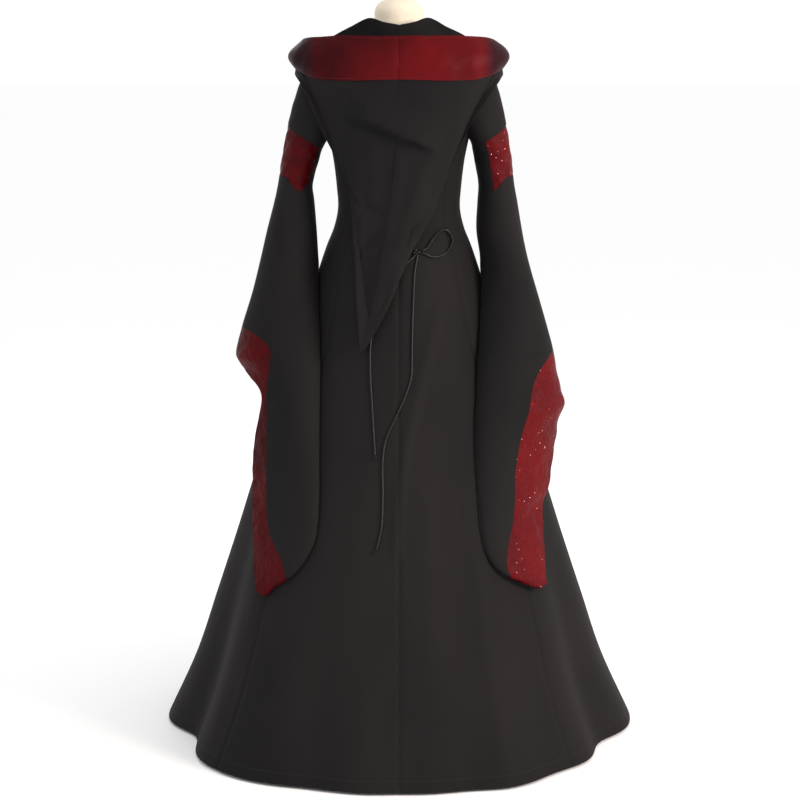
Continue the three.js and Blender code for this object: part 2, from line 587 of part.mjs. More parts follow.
for (const gore of GORES) {
  const rows = gownLevels.map((level) => {
    const from = gore.from + (gore.armhole === "from" ? armholeTurn(level) : 0);
    const to = gore.to - (gore.armhole === "to" ? armholeTurn(level) : 0);
    return spread(from * DEGREE, to * DEGREE, gore.columns).map((turn) => [turn, level]);
  });
  const atHole = ([, level]) => (armholeTurn(level) > 0 ? ARMHOLE_TRIM.gown : SEAM_GAP / 2);
  const trims = { [gore.armhole === "from" ? "left" : "right"]: gore.armhole && atHole };
  add(gore.name, cloth(gown, rows, { steps: [1e-3, 0.5], trims }), "black");
}

// One sleeve: the upper sleeve, the satin arm band with the black strip under the arm, the black bell and
// the satin hem band. The right sleeve is made as a left one and mirrored.
function makeSleeve(side, table, hem, cuts) {
  const mirror = side === "left" ? 1 : -1;
  const surface = (turn, level) => sleeve(table, turn, level).multiply(point(mirror, 1, 1));
  const steps = [1e-3, 0.5];
  const turns = spread(-1, 1, ARMHOLE.columns);
  const bandLow = (turn) => {
    const away = (Math.abs(((turn + 3) % 2) - 1) - ARM_BAND.pointTurn) / ARM_BAND.pointWide;
    return ARM_BAND.low - ARM_BAND.point * bell(away);
  };
  const levelsAt = (turn, from, to, count) => spread(from, to, count).map((level) => [turn, level]);

  const upper = turns.slice(0, -1).map((turn) => levelsAt(turn, CAP_LEVEL + CAP_RISE, ARM_BAND.top, 4));
  const atArmhole = { left: () => ARMHOLE_TRIM.sleeve };
  add(`upper_sleeve_${side}`, cloth(surface, upper, { steps, loop: true, trims: atArmhole }), "black");

  const { bandBack, bandFront, bandTop, bandFlat, blackEnd, wrist } = cuts;
  const [outside, front] = [spread(bandBack, 1, 6), spread(-1, -bandFront, 5)];
  const strip = spread(-bandFront, bandBack, 4);
  const bandTurns = [...outside, ...front.slice(1).map((turn) => turn + 2)];
  const down = (turn) => levelsAt(turn, ARM_BAND.top, bandLow(turn), 2);
  const atPoint = { steps, trims: { right: () => 0.6 } };
  add(`arm_band_${side}`, cloth(surface, bandTurns.map(down), atPoint), "red");
  add(`underarm_strip_${side}`, cloth(surface, strip.map(down), atPoint), "black");

  const turnOf = (share, end) => Math.acos(clamp(1 - share * (1 - Math.cos(end)), -1, 1)) / end;
  // On each level the black cloth stops where the hem band starts, which curves up to its top outside
  const edge = (level, column) => {
    if (level >= bandTop) return 1;
    const end = clamp(along(table, "shut", level), 0, 180) * DEGREE;
    const rise = clamp((level - bandFlat) / (bandTop - bandFlat), 0, 1);
    const share = mix(along(hem, column, level), 1, 1 - Math.sqrt(1 - rise * rise));
    return turnOf(share, end);
  };
  const free = (level) => {
    const end = clamp(along(table, "shut", level), 0, 180) * DEGREE;
    return level >= wrist ? 1 : turnOf(along(hem, "hem", level), end);
  };
  const curve = (turn) => mix(bandFlat, bandTop, Math.sin(turn * DEGREE));
  const curved = spread(0, 90, BAND_CURVE_STEPS).map(curve);
  const flat = table.map((row) => row.at).filter((level) => level >= blackEnd && level < bandFlat - 5);
  const tube = table.map((row) => row.at).filter((level) => level > bandTop + 5 && level < 1100);
  const bandLevels = [...flat, ...curved.slice(0, -1)];
  const across = [...front, ...strip.slice(1), ...outside.slice(1)];
  const bellRows = [...bandLevels, bandTop, ...tube].map((level) =>
    across.map((turn) => [turn * edge(level, turn < 0 ? "front" : "back"), level]),
  );
  bellRows.push(across.map((turn) => [turn, bandLow(turn)]));
  add(`bell_${side}`, cloth(surface, bellRows, { steps, trims: { last: () => 0.6 } }), "black");

  // The hem band is a ring of cloth: down the back layer, round the tip and up the front layer to the wrist
  const bend = wrist - 45;
  const hemLevel = (level) => {
    const above = bend + ((level - bend) * (wrist - bend)) / (bandTop - bend);
    const low = level < bend ? level : above;
    return mix(cuts.tip, low, clamp((level - blackEnd + 12) / 60, 0.2, 1));
  };
  const between = (from, to, share) => [mix(from[0], to[0], share), mix(from[1], to[1], share)];
  const row = (from, to) => spread(0, 1, 2).map((share) => between(from, to, share));
  const end = (level) => [free(hemLevel(level)), hemLevel(level)];
  const downBack = bandLevels.map((level) => row([edge(level, "back"), level], end(level)));
  const frontEnd = (level) => [-end(level)[0], end(level)[1]];
  const upFront = bandLevels.map((level) => row([-edge(level, "front"), level], frontEnd(level)));
  const ring = [
    row([1, bandTop], [1, wrist]),
    ...downBack.reverse(),
    row([0, blackEnd - 5], [0, cuts.tip]),
    ...upFront,
  ];
  add(`hem_band_${side}`, cloth(surface, ring, { steps, loop: true }), "red");
}

makeSleeve("left", SLEEVE_LEFT, HEM_LEFT, CUTS_LEFT);
makeSleeve("right", SLEEVE_RIGHT, HEM_RIGHT, CUTS_RIGHT);

// The satin band on the hood's face edge. Share 0 is its seam on the hood, and 1 its free edge.
function hoodBand(station, share) {
  const seam = point(...["seamX", "seamY", "seamZ"].map((column) => along(HOOD_BAND, column, station)));
  const face = point(...["faceX", "faceY", "faceZ"].map((column) => along(HOOD_BAND, column, station)));
  const p = seam.lerp(face, share);
  const away = point(p.x, p.y, 0).normalize();
  const puff = mix(HOOD_PUFF.back, HOOD_PUFF.side, Math.abs(away.x) ** 2);
  return p.addScaledVector(away, puff * Math.sin(Math.PI * share));
}

// How far back the hood's cloth stays, clear of the gown's back and of the sleeve's head beside it
function behind(p, clear) {
  const beside = clamp((Math.abs(p.x) - 95) / 30, 0, 1) * clamp((1395 - p.z) / 50, 0, 1);
  return Math.max(p.y, backOf(p.x, p.z) + clear, HOOD_CLEAR.sleeve * beside);
}

// A push that keeps a point outside the gown's upper part
function offTheChest(p, clear) {
  if (p.z > 1400) return p;
  const deep = along(GOWN, p.y < 0 ? "front" : "back", p.z);
  const turn = Math.atan2(p.y / deep, p.x / along(GOWN, "half", p.z));
  const body = sectionPoint(GOWN, turn, p.z);
  const reach = Math.hypot(body.x, body.y) + clear;
  const now = Math.hypot(p.x, p.y);
  return now < reach ? p.multiply(point(reach / now, reach / now, 1)) : p;
}

// The hood's cloth: way 0 to 1 is the outer layer from under the band's seam down to the bottom fold, and
// 1 to 2 the inner layer, up the gown's back to the crest and over to the neckline.
function hoodCloth(folds, station, share) {
  const front = clamp((station - HOOD_SHOULDER) / 0.2, 0, 1);
  const way = Math.max(share < 1 ? share * mix(1, 0.76, front) : share, 0);
  const read = (table, columns) => point(...columns.map((column) => along(table, column, station)));
  const crest = read(HOOD_INSIDE, ["crestX", "crestY", "crestZ"]);
  const neck = read(HOOD_INSIDE, ["neckX", "neckY", "neckZ"]);
  const fold = read(folds, ["x", "y", "z"]);
  const seam = hoodBand(station, 0);
  seam.addScaledVector(point(seam.x, seam.y, 0).normalize(), -HOOD_TUCK);
  const onBack = 1 - clamp((station - HOOD_SHOULDER) / 0.08, 0, 1);
  const keep = (p, clear) => {
    p.setY(mix(p.y, behind(p, clear), onBack));
    return onBack < 1 ? offTheChest(p, HOOD_CLEAR.chest * (1 - onBack)) : p;
  };
  keep(fold, HOOD_CLEAR.fold);
  const swing = mix(HOOD_SWING, 1, clamp(station / 0.4, 0, 1));
  if (way <= 1) {
    const p = seam.clone().lerp(fold, way);
    p.x = mix(seam.x, fold.x, way ** swing);
    p.y = mix(p.y, mix(seam.y - HOOD_SAG * way, fold.y, way ** 6), onBack);
    return keep(p, mix(HOOD_CLEAR.outer, HOOD_CLEAR.fold, way ** 6));
  }
  const up = Math.min((way - 1) / (HOOD_NECK_SHARE - 1), 1);
  const p = fold.clone().lerp(crest, up);
  p.x = mix(crest.x, fold.x, (1 - up) ** swing);
  const nearSpine = clamp((110 - Math.abs(p.x)) / 30, 0, 1);
  const hug = onBack * clamp(up * 6, 0, 1) * clamp((1 - up) * 4, 0, 1) * nearSpine;
  p.y = mix(p.y, Math.min(p.y, backOf(p.x, p.z) + HOOD_CLEAR.inner), hug);
  p.z += HOOD_RISE * (1 - onBack) * Math.sin(Math.PI * up);
  keep(p, HOOD_CLEAR.inner);
  return way <= HOOD_NECK_SHARE ? p : crest.lerp(neck, (way - HOOD_NECK_SHARE) / (2 - HOOD_NECK_SHARE));
}

function makeHood(side, folds) {
  const mirror = side === "left" ? 1 : -1;
  const stations = [...spread(0, 0.84, 12), ...spread(0.84, 1, 5).slice(1)];
  const place = (p) => p.multiply(point(mirror, 1, 1));
  const band = stations.map((station) => spread(0, 1, 4).map((share) => [station, share]));
  const bandSurface = (station, share) => place(hoodBand(station, share));
  const steps = [1e-3, 1e-3];
  add(`hood_band_${side}`, cloth(bandSurface, band, { steps, trims: { left: () => 0.8 } }), "red");

  const ways = [...spread(0, 0.92, 5), 1, ...spread(1.08, HOOD_NECK_SHARE, 8), 2];
  const bag = stations.map((station) => ways.map((way) => [station, way]));
  const surface = (station, way) => place(hoodCloth(folds, station, way));
  // The centre seam's gap widens towards the tip of the tail, where the halves meet at a sharp angle
  const first = ([, way]) => 1.4 + HOOD_TIP_TRIM * clamp(1 - Math.abs(way - 1), 0, 1) ** 3;
  add(`hood_${side}`, cloth(surface, bag, { steps, trims: { first } }), "black");
}

makeHood("left", FOLD_LEFT);
makeHood("right", FOLD_RIGHT);

// The dress form follows the gown's inside from the bust up, so the gown rests on its shoulders
function makeForm() {
  const turns = spread(0, 360, FORM_COLUMNS).slice(0, -1);
  const ring = (table, level, inset) =>
    turns.map((turn) => sectionPoint(table, turn * DEGREE, level, inset));
  const torso = FORM.map((row) => ring(FORM, row.at, 0));
  const chest = gownLevels.filter((level) => level > 1200);
  const shoulders = chest.map((level) => {
    const drop = level > GOWN_SHOULDER ? FORM_DROP : 0;
    return ring(GOWN, level, FORM_CLEAR).map((p) => p.setZ(p.z - drop));
  });
  const neck = NECK.map((row) => ring(NECK, row.at, 0));
  add("dress_form", stacked([...torso, ...shoulders, ...neck]), "cover");

  const poleTop = FORM[0].at - 0.3;
  const poleLow = BASE.thick + 0.3;
  const pole = new THREE.CylinderGeometry(POLE_RADIUS, POLE_RADIUS, poleTop - poleLow, 20);
  pole.rotateX(Math.PI / 2);
  pole.translate(0, 0, (poleTop + poleLow) / 2);
  add("stand_pole", pole, "stand");

  const profile = [
    new THREE.Vector2(0, 0),
    new THREE.Vector2(BASE.radius, 0),
    new THREE.Vector2(BASE.radius, BASE.thick - BASE.edge),
    new THREE.Vector2(BASE.radius - BASE.edge, BASE.thick),
    new THREE.Vector2(0, BASE.thick),
  ];
  const base = new THREE.LatheGeometry(profile, 40);
  base.rotateX(Math.PI / 2);
  add("stand_base", base, "stand");
}

makeForm();

// A cord's centre line on the back of the gown, from its points across the back, up, and off the cloth
function cordCurve(stops) {
  const points = stops.map((stop) => {
    const skin = gown(Math.acos(stop.x / along(GOWN, "half", stop.z)), stop.z);
    const reach = Math.hypot(skin.x, skin.y);
    const away = point(skin.x / reach, skin.y / reach, 0);
    return skin.addScaledVector(away, CLOTH / 2 + CORD / 2 + stop.out - 2);
  });
  return new THREE.CatmullRomCurve3(points, false, "centripetal");
}

function makeCord(name, stops) {
  const curve = cordCurve(stops);
  const section = new THREE.Shape(
    spread(0, 360, 8)
      .slice(0, -1)
      .map((turn) => new THREE.Vector2(Math.cos(turn * DEGREE), Math.sin(turn * DEGREE)))
      .map((point) => point.multiplyScalar(CORD / 2)),
  );
  const count = Math.round(curve.getLength() / TAIL_STEP);
  add(name, new THREE.ExtrudeGeometry(section, { steps: count, extrudePath: curve }), "cord");
  return curve;
}

function knotAt(name, centre, wide, deep, high) {
  const knot = new THREE.SphereGeometry(0.5, 12, 8);
  knot.scale(wide, deep, high);
  knot.rotateX(Math.PI / 2);
  knot.translate(centre.x, centre.y, centre.z);
  add(name, knot, "cord");
}

function makeBow() {
  const seat = backOf(KNOT.x, KNOT.z) + CLOTH / 2 + KNOT.deep / 2 + 0.8;
  knotAt("bow_knot", point(KNOT.x, seat, KNOT.z), KNOT.wide, KNOT.high, KNOT.deep);
  makeCord("bow_loop", LOOP);
  for (const [name, stops] of [
    ["long", TAIL_LONG],
    ["short", TAIL_SHORT],
  ]) {
    const curve = makeCord(`lace_tail_${name}`, stops);
    const end = curve.getPoint(1);
    const down = curve.getTangent(1);
    const centre = end.addScaledVector(down, END_KNOT.long / 2 + 0.3);
    centre.y += END_KNOT.radius - CORD / 2;
    knotAt(`lace_end_${name}`, centre, 2 * END_KNOT.radius, END_KNOT.long, 2 * END_KNOT.radius);
  }
}

makeBow();

export default part;
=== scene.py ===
# %% [markdown]
# # A hooded medieval gown on a dress form
#
# The gown hangs on a headless dress form and is seen from behind: the hood is thrown back, so its long
# tail lies down the back, and the bell sleeves hang beside the skirt. The imported model gives the rigid
# walls of cloth. This script dresses them: it makes each cut piece again as fine cloth from the same named
# sizes, and gives it folds, seams, stitches and a finish. We start by loading the frame and counting its
# nodes.

# %% Load the frame
import math

import bpy
import numpy as np
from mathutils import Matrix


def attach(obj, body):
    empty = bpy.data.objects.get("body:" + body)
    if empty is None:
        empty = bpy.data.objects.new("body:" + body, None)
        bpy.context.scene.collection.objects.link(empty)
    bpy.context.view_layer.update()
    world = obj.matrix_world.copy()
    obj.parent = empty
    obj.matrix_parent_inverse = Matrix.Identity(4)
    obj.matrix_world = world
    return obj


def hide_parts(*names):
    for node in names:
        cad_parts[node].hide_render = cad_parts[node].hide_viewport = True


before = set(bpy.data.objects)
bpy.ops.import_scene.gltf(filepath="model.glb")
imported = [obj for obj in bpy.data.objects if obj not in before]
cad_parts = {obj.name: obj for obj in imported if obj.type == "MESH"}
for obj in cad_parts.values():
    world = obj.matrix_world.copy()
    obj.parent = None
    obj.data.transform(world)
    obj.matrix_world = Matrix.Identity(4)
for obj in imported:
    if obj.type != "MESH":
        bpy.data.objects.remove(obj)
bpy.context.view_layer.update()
MM = 0.001
DEGREE = math.pi / 180
print("nodes in the frame:", len(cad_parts))

# %% [markdown]
# ## The camera and the light
#
# The camera stands four metres behind the gown, at the height of its shoulders, and looks down by about ten
# degrees. A long lens keeps the skirt from swelling towards us. Black cloth needs large soft lights: a
# small lamp would leave hard specks, and a broad one draws the long pale streaks that show the folds.

# %% Camera
eye = bpy.data.cameras.new("camera")
SENSOR_MM, FOCAL_PIXELS, PICTURE_PIXELS = 36, 1950, 800
eye.sensor_width = SENSOR_MM
eye.lens = SENSOR_MM * FOCAL_PIXELS / PICTURE_PIXELS
eye.shift_x = 0.00125
camera = bpy.data.objects.new("camera", eye)
camera.location = (0, 4.0, 1.35)
camera.rotation_euler = ((90 - 9.5) * DEGREE, 0, math.pi)
bpy.context.scene.collection.objects.link(camera)
bpy.context.scene.camera = camera


# %% Soft lights
def soft_light(name, place, aim, size, power, colour):
    lamp = bpy.data.lights.new(name, "AREA")
    lamp.shape = "RECTANGLE"
    lamp.size, lamp.size_y = size
    lamp.energy = power
    lamp.color = colour
    lit = bpy.data.objects.new(name, lamp)
    away = np.array(place) - np.array(aim)
    lit.location = place
    turn = math.atan2(away[1], away[0])
    lean = math.atan2(math.hypot(away[0], away[1]), away[2])
    lit.rotation_euler = (0, lean, turn)
    bpy.context.scene.collection.objects.link(lit)
    return lit


LIGHTS = [
    ("key", (-3.0, 1.9, 2.0), (0, 0, 1.05), (0.9, 1.4), 120, (1.0, 0.86, 0.8)),
    ("fill", (2.4, 3.4, 1.9), (0, 0, 1.0), (1.4, 1.6), 5, (0.92, 0.96, 1.0)),
    ("front", (0.4, -3.2, 2.2), (0, 0, 0.9), (2.6, 2.6), 24, (1, 0.98, 0.96)),
]
for light in LIGHTS:
    soft_light(*light)
world = bpy.data.worlds.new("studio")
bpy.context.scene.world = world
world.use_nodes = True
sky = world.node_tree.nodes["Background"]
sky.inputs["Color"].default_value = (1, 1, 1, 1)
sky.inputs["Strength"].default_value = 1.02
bpy.context.scene.view_settings.view_transform = "Standard"
print("lights:", [light[0] for light in LIGHTS])

# %% [markdown]
# ## Writing shader maths as expressions
#
# A finish is a small graph of nodes. Built by hand it takes a page of links, so one small class wraps a
# socket and lets plain operators add the Math nodes. `Finish` holds the material and its one method for
# any other node: its settings go first, and then the values or links of its sockets.


# %% Shader values
class Value:
    """A number that varies over a surface. Its operators add Math nodes to the finish."""

    def __init__(self, finish, socket):
        self.finish = finish
        self.socket = socket

    def maths(self, operation, *inputs):
        sockets = dict(enumerate(inputs))
        return self.finish.node("ShaderNodeMath", {"operation": operation}, sockets)

    def __add__(self, other):
        return self.maths("ADD", self, other)

    def __sub__(self, other):
        return self.maths("SUBTRACT", self, other)

    def __mul__(self, other):
        return self.maths("MULTIPLY", self, other)

    def __rsub__(self, other):
        return self.maths("SUBTRACT", other, self)

    __radd__ = __add__
    __rmul__ = __mul__

    def above(self, low, high):
        """0 below low, 1 above high and a smooth step between them."""
        settings = {"interpolation_type": "SMOOTHSTEP"}
        sockets = {"Value": self, "From Min": low, "From Max": high}
        return self.finish.node("ShaderNodeMapRange", settings, sockets)


class Finish:
    """A material, made node by node."""

    def __init__(self, name, **constants):
        self.material = bpy.data.materials.new(name)
        self.material.use_nodes = True
        self.tree = self.material.node_tree
        self.shader = self.tree.nodes["Principled BSDF"]
        for socket, value in constants.items():
            self.shader.inputs[socket.replace("_", " ")].default_value = value

    def node(self, kind, settings=None, sockets=None, output=0):
        made = self.tree.nodes.new(kind)
        for setting, value in (settings or {}).items():
            setattr(made, setting, value)
        for name, value in (sockets or {}).items():
            if isinstance(value, Value):
                self.tree.links.new(value.socket, made.inputs[name])
            else:
                made.inputs[name].default_value = value
        return Value(self, made.outputs[output])

    def place(self, stretch=(1, 1, 1)):
        """Where we are on the object, in metres, stretched along its axes."""
        here = self.node("ShaderNodeTexCoord", output="Object")
        return self.node("ShaderNodeMapping", None, {"Vector": here, "Scale": stretch})

    def on_cloth(self):
        """Where we are on the cut cloth, in metres across and along it, from the piece's own UV map."""
        return self.node("ShaderNodeTexCoord", output="UV")

    def noise(self, place, scale, detail=3, rough=0.5, bend=0):
        sockets = {"Vector": place, "Scale": scale, "Detail": detail, "Roughness": rough}
        sockets["Distortion"] = bend
        return self.node("ShaderNodeTexNoise", None, sockets)

    def threads(self, place, scale, bend=0.0, direction="DIAGONAL"):
        """Even bands, as of a twill weave, a braid or the rows of a knit."""
        settings = {"wave_type": "BANDS", "bands_direction": direction, "wave_profile": "SIN"}
        sockets = {"Vector": place, "Scale": scale, "Distortion": bend}
        return self.node("ShaderNodeTexWave", settings, sockets)

    def mix(self, share, first, second):
        sockets = {"Factor": share, 6: first, 7: second}
        return self.node("ShaderNodeMix", {"data_type": "RGBA"}, sockets, output=2)

    def bump(self, height, distance, under=None):
        sockets = {"Height": height, "Distance": distance, "Strength": 1}
        if under:
            sockets["Normal"] = under
        return self.node("ShaderNodeBump", None, sockets)

    def surface(self, **links):
        for socket, value in links.items():
            self.tree.links.new(value.socket, self.shader.inputs[socket.replace("_", " ")])
        return self.material


# %% [markdown]
# ## The finishes
#
# Black cloth is never plain black. This one is a smooth woven crepe: nearly black in its hollows, with a
# soft sheen where it turns away, faint creases from hanging, and a twill weave that shows only close up.
# The weave follows the cut cloth, so it reads the UV map; the creases run through all the pieces alike, so
# they read the object's own coordinates.


# %% Black crepe
def black_crepe():
    finish = Finish("black_crepe", Sheen_Weight=0.02, Sheen_Roughness=0.5, Specular_IOR_Level=0.045)
    finish.shader.inputs["Sheen Tint"].default_value = (0.8, 0.66, 0.64, 1)
    patches = finish.noise(finish.place((1, 1, 0.35)), 3.2, 4, 0.55)
    soft = patches.above(0.3, 0.72)
    colour = finish.mix(soft, (0.0092, 0.0087, 0.0092, 1), (0.0148, 0.0133, 0.0135, 1))
    weave = finish.threads(finish.on_cloth(), 260, 0.6)
    creases = finish.noise(finish.place((1, 1, 0.3)), 26, 3, 0.5, 0.4)
    fine = finish.noise(finish.place(), 420, 2, 0.6)
    bumped = finish.bump(creases, 0.0011)
    bumped = finish.bump(fine, 0.0002, bumped)
    bumped = finish.bump(weave, 0.00006, bumped)
    rough = 0.62 + patches * 0.16
    return finish.surface(Base_Color=colour, Roughness=rough, Normal=bumped)


# %% [markdown]
# The bands are crinkled satin. Satin is glossy because its threads float over the surface, so each small
# crease catches the light. Two layers of noise make the creases: long folds, and a fine crackle on them.


# %% Red satin
def red_satin(name, crinkle, sheen):
    finish = Finish(name, Sheen_Weight=sheen, Sheen_Roughness=0.3, Specular_IOR_Level=0.055)
    finish.shader.inputs["Sheen Tint"].default_value = (1, 0.2, 0.24, 1)
    wide = finish.noise(finish.place(), 7, 4, 0.55, 0.5)
    crackle = finish.noise(finish.place(), 62, 3, 0.55, 1.1)
    tone = wide * (1 - 0.3 * crinkle) + crackle * (0.3 * crinkle)
    here = finish.node("ShaderNodeSeparateXYZ", None, {0: finish.place()})
    # Painted light: on top of its random tone, the satin's colour is made lighter towards the wearer's
    # right, the side the key lamp lights.
    painted_key_light = here.above(0.11, -0.1)
    tone_and_painted_light = tone.above(0.3, 0.68) * (0.45 + 0.13 * crinkle) + painted_key_light * (0.55 - 0.13 * crinkle)
    colour = finish.mix(tone_and_painted_light, (0.030, 0.0012, 0.0022, 1), (0.108, 0.0034, 0.0050, 1))
    # Painted shade: the hood band turns dark purple near its two ends, where it wraps round the shoulders
    # and turns away from the light.
    outwards = here.maths("ABSOLUTE", here)
    ends = outwards.above(0.160, 0.192) * (0.9 - 0.9 * crinkle)
    colour = finish.mix(ends, colour, (0.012, 0.0034, 0.0062, 1))
    long_folds = finish.noise(finish.place((1, 1, 1.5)), 24, 3, 0.5, 0.6)
    bumped = finish.bump(long_folds, 0.0022 + 0.004 * crinkle)
    bumped = finish.bump(crackle, 0.0002 + 0.0024 * crinkle, bumped)
    weave = finish.threads(finish.on_cloth(), 300, 0.5)
    bumped = finish.bump(weave, 0.00004, bumped)
    rough = 0.40 + crackle * 0.14
    return finish.surface(Base_Color=colour, Roughness=rough, Normal=bumped)


# %% Cord, cover, thread, sequins and paint
def satin_cord():
    finish = Finish("satin_cord", Coat_Weight=0.08, Coat_Roughness=0.3, Specular_IOR_Level=0.25)
    braid = finish.threads(finish.on_cloth(), 140)
    colour = finish.mix(braid.above(0.2, 0.9), (0.0070, 0.0066, 0.0070, 1), (0.0125, 0.0115, 0.0122, 1))
    rough = 0.34 - braid * 0.12
    return finish.surface(Base_Color=colour, Roughness=rough, Normal=finish.bump(braid, 0.0002))


def cream_jersey():
    finish = Finish("cream_jersey", Sheen_Weight=0.15, Sheen_Roughness=0.5, Specular_IOR_Level=0.3)
    courses = finish.threads(finish.place(), 190, 0.8, "Z")
    soil = finish.noise(finish.place(), 16, 4, 0.6)
    colour = finish.mix(soil.above(0.35, 0.75), (0.72, 0.63, 0.49, 1), (0.84, 0.76, 0.62, 1))
    rough = 0.78 + soil * 0.12
    return finish.surface(Base_Color=colour, Roughness=rough, Normal=finish.bump(courses, 0.00018))


def thread(name, colour):
    finish = Finish(name, Specular_IOR_Level=0.45)
    twist = finish.noise(finish.place(), 900, 2)
    dark = tuple(0.6 * part for part in colour)
    shade = finish.mix(twist, (*dark, 1), (*colour, 1))
    rough = 0.5 + twist * 0.15
    return finish.surface(Base_Color=shade, Roughness=rough, Normal=finish.bump(twist, 0.00008))


def sequin_film():
    finish = Finish("sequin_film", Metallic=1.0)
    glint = finish.noise(finish.place(), 150, 2)
    colour = finish.mix(glint.above(0.4, 0.6), (0.42, 0.03, 0.04, 1), (0.95, 0.42, 0.38, 1))
    return finish.surface(Base_Color=colour, Roughness=0.12 + glint * 0.2)


def stand_paint():
    finish = Finish("stand_paint", Coat_Weight=0.2, Coat_Roughness=0.35)
    wear = finish.noise(finish.place(), 28, 5, 0.6)
    colour = finish.mix(wear.above(0.55, 0.8), (0.018, 0.018, 0.019, 1), (0.05, 0.048, 0.046, 1))
    peel = finish.noise(finish.place(), 600, 2)
    rough = 0.38 + wear * 0.2
    return finish.surface(Base_Color=colour, Roughness=rough, Normal=finish.bump(peel, 0.00008))


BLACK = black_crepe()
RED = red_satin("red_satin", 0.0, 0.02)
CRINKLED = red_satin("crinkled_satin", 1.0, 0.0)
CORD_FINISH = satin_cord()
COVER = cream_jersey()
BLACK_THREAD = thread("black_thread", (0.03, 0.028, 0.03))
RED_THREAD = thread("red_thread", (0.2, 0.012, 0.018))
SEQUIN = sequin_film()
PAINT = stand_paint()
for name in ("stand_pole", "stand_base"):
    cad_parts[name].data.materials.clear()
    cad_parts[name].data.materials.append(PAINT)
print("finishes:", [m.name for m in (BLACK, RED, CORD_FINISH, COVER, SEQUIN, PAINT)])

# %% [markdown]
# ## Reading a table of sizes as a smooth shape
#
# A garment is drafted from a few measures at a few levels: waist, hip, hem. Each table below holds such
# measures by column, in millimetres and degrees. `along` reads a column anywhere between its rows on a
# smooth curve, for a whole grid of points at once, which is what makes fine cloth cheap.


# %% Tables and curves
def table(columns, rows):
    return dict(zip(columns.split(), np.array(rows, float).T))


def mix(a, b, share):
    return a + (b - a) * share


def bell(value):
    return np.exp(-value * value)


def curve(t, low, rise_low, high, rise_high):
    """A smooth curve from low to high that leaves and arrives with the given rises."""
    return (
        (2 * t**3 - 3 * t**2 + 1) * low
        + (t**3 - 2 * t**2 + t) * rise_low
        + (3 * t**2 - 2 * t**3) * high
        + (t**3 - t**2) * rise_high
    )


def along(sizes, column, at):
    keys, values = sizes["at"], sizes[column]
    at = np.asarray(at, float)
    low = np.clip(np.searchsorted(keys[1:], at, side="left"), 0, len(keys) - 2)
    high = low + 1
    before, after = np.maximum(low - 1, 0), np.minimum(low + 2, len(keys) - 1)
    step = keys[high] - keys[low]
    t = np.clip((at - keys[low]) / step, 0, 1)
    rise_low = (values[high] - values[before]) / (keys[high] - keys[before]) * step
    rise_high = (values[after] - values[low]) / (keys[after] - keys[low]) * step
    return curve(t, values[low], rise_low, values[high], rise_high)


def point(x, y, z):
    return np.stack(np.broadcast_arrays(x, y, z), axis=-1).astype(float)


# %% [markdown]
# ## The gown's own shape
#
# The gown is cut in gores that run from shoulder to hem, so its whole body can be one surface: a section
# at each level, full at the bust, small at the waist and round at the hem. The folds are added by their
# turn round the form, and they grow towards the hem as real folds do.

# %% Sizes of the gown
GOWN = table("at half back front round", [
    (5, 490, 485, 468, 1),
    (140, 428, 424, 408, 1),
    (273, 383, 378, 362, 1),
    (408, 338, 334, 318, 1),
    (540, 296, 292, 276, 1),
    (680, 249, 246, 230, 1),
    (800, 211, 209, 192, 1),
    (880, 187, 184, 166, 1),
    (941, 168, 162, 146, 1),
    (1003, 147, 134, 124, 0.97),
    (1040, 132, 112, 110, 0.95),
    (1080, 123.5, 98, 101, 0.93),
    (1120, 125.5, 96, 105, 0.92),
    (1177, 132, 103, 122, 0.9),
    (1222, 141, 108, 132, 0.88),
    (1265, 150, 110, 129, 0.86),
    (1310, 160, 106, 112, 0.85),
    (1345, 169, 92, 93, 0.86),
    (1368, 170, 76, 76, 0.88),
    (1385, 156, 64, 64, 0.9),
    (1405, 124, 56, 58, 0.93),
    (1425, 91, 53, 55, 0.97),
    (1440, 68, 52, 54, 1),
])

FOLDS = table("at out wide from", [
    (21, -44, 10, 640),
    (50, 16, 14, 520),
    (70, -7, 7, 420),
    (90, -6, 6, 700),
    (104, -6, 8, 500),
    (117, 9, 8, 900),
    (131, -10, 8, 560),
    (154, -38, 10, 640),
    (205, 10, 10, 560),
    (222, -26, 9, 640),
    (246, 10, 9, 600),
    (264, -20, 9, 560),
    (284, 10, 9, 620),
    (303, -28, 9, 640),
    (330, 9, 11, 520),
])

HEM_LEVEL, NECK_LEVEL = 5, 1440
ARMHOLE = {"level": 1297, "half_height": 76, "half_turn": 32}
SCOOP = {"deep": 105, "half_turn": 75, "from": 1300}


# %% The gown's surface
def section(sizes, turn, level):
    round_off = along(sizes, "round", level)
    across, out = np.cos(turn), np.sin(turn)
    depth = np.where(out < 0, along(sizes, "front", level), along(sizes, "back", level))
    half = along(sizes, "half", level)
    x = half * np.sign(across) * np.abs(across) ** round_off
    y = depth * np.sign(out) * np.abs(out) ** round_off
    return point(x, y, level)


def fold_depth(turn, level):
    degrees = turn / DEGREE
    total = np.zeros(np.broadcast(degrees, level).shape)
    for at, out, wide, start in zip(FOLDS["at"], FOLDS["out"], FOLDS["wide"], FOLDS["from"]):
        away = (degrees - at + 540) % 360 - 180
        share = np.clip(1 - level / start, 0, 1)
        total = total + out * share**1.3 * bell(away / wide)
    return total


def gown(turn, level):
    turn, level = np.broadcast_arrays(np.asarray(turn, float), np.asarray(level, float))
    degrees = (turn / DEGREE) % 360
    from_front = np.minimum(np.abs(degrees - 270) / SCOOP["half_turn"], 1)
    top = NECK_LEVEL - SCOOP["deep"] * np.cos(from_front * math.pi / 2) ** 2
    low = SCOOP["from"]
    squeezed = low + (level - low) * (top - low) / (NECK_LEVEL - low)
    height = np.where(level > low, squeezed, level)
    p = section(GOWN, turn, height)
    out = fold_depth(turn, height) / np.hypot(p[..., 0], p[..., 1])
    return p * point(1 + out, 1 + out, 1)


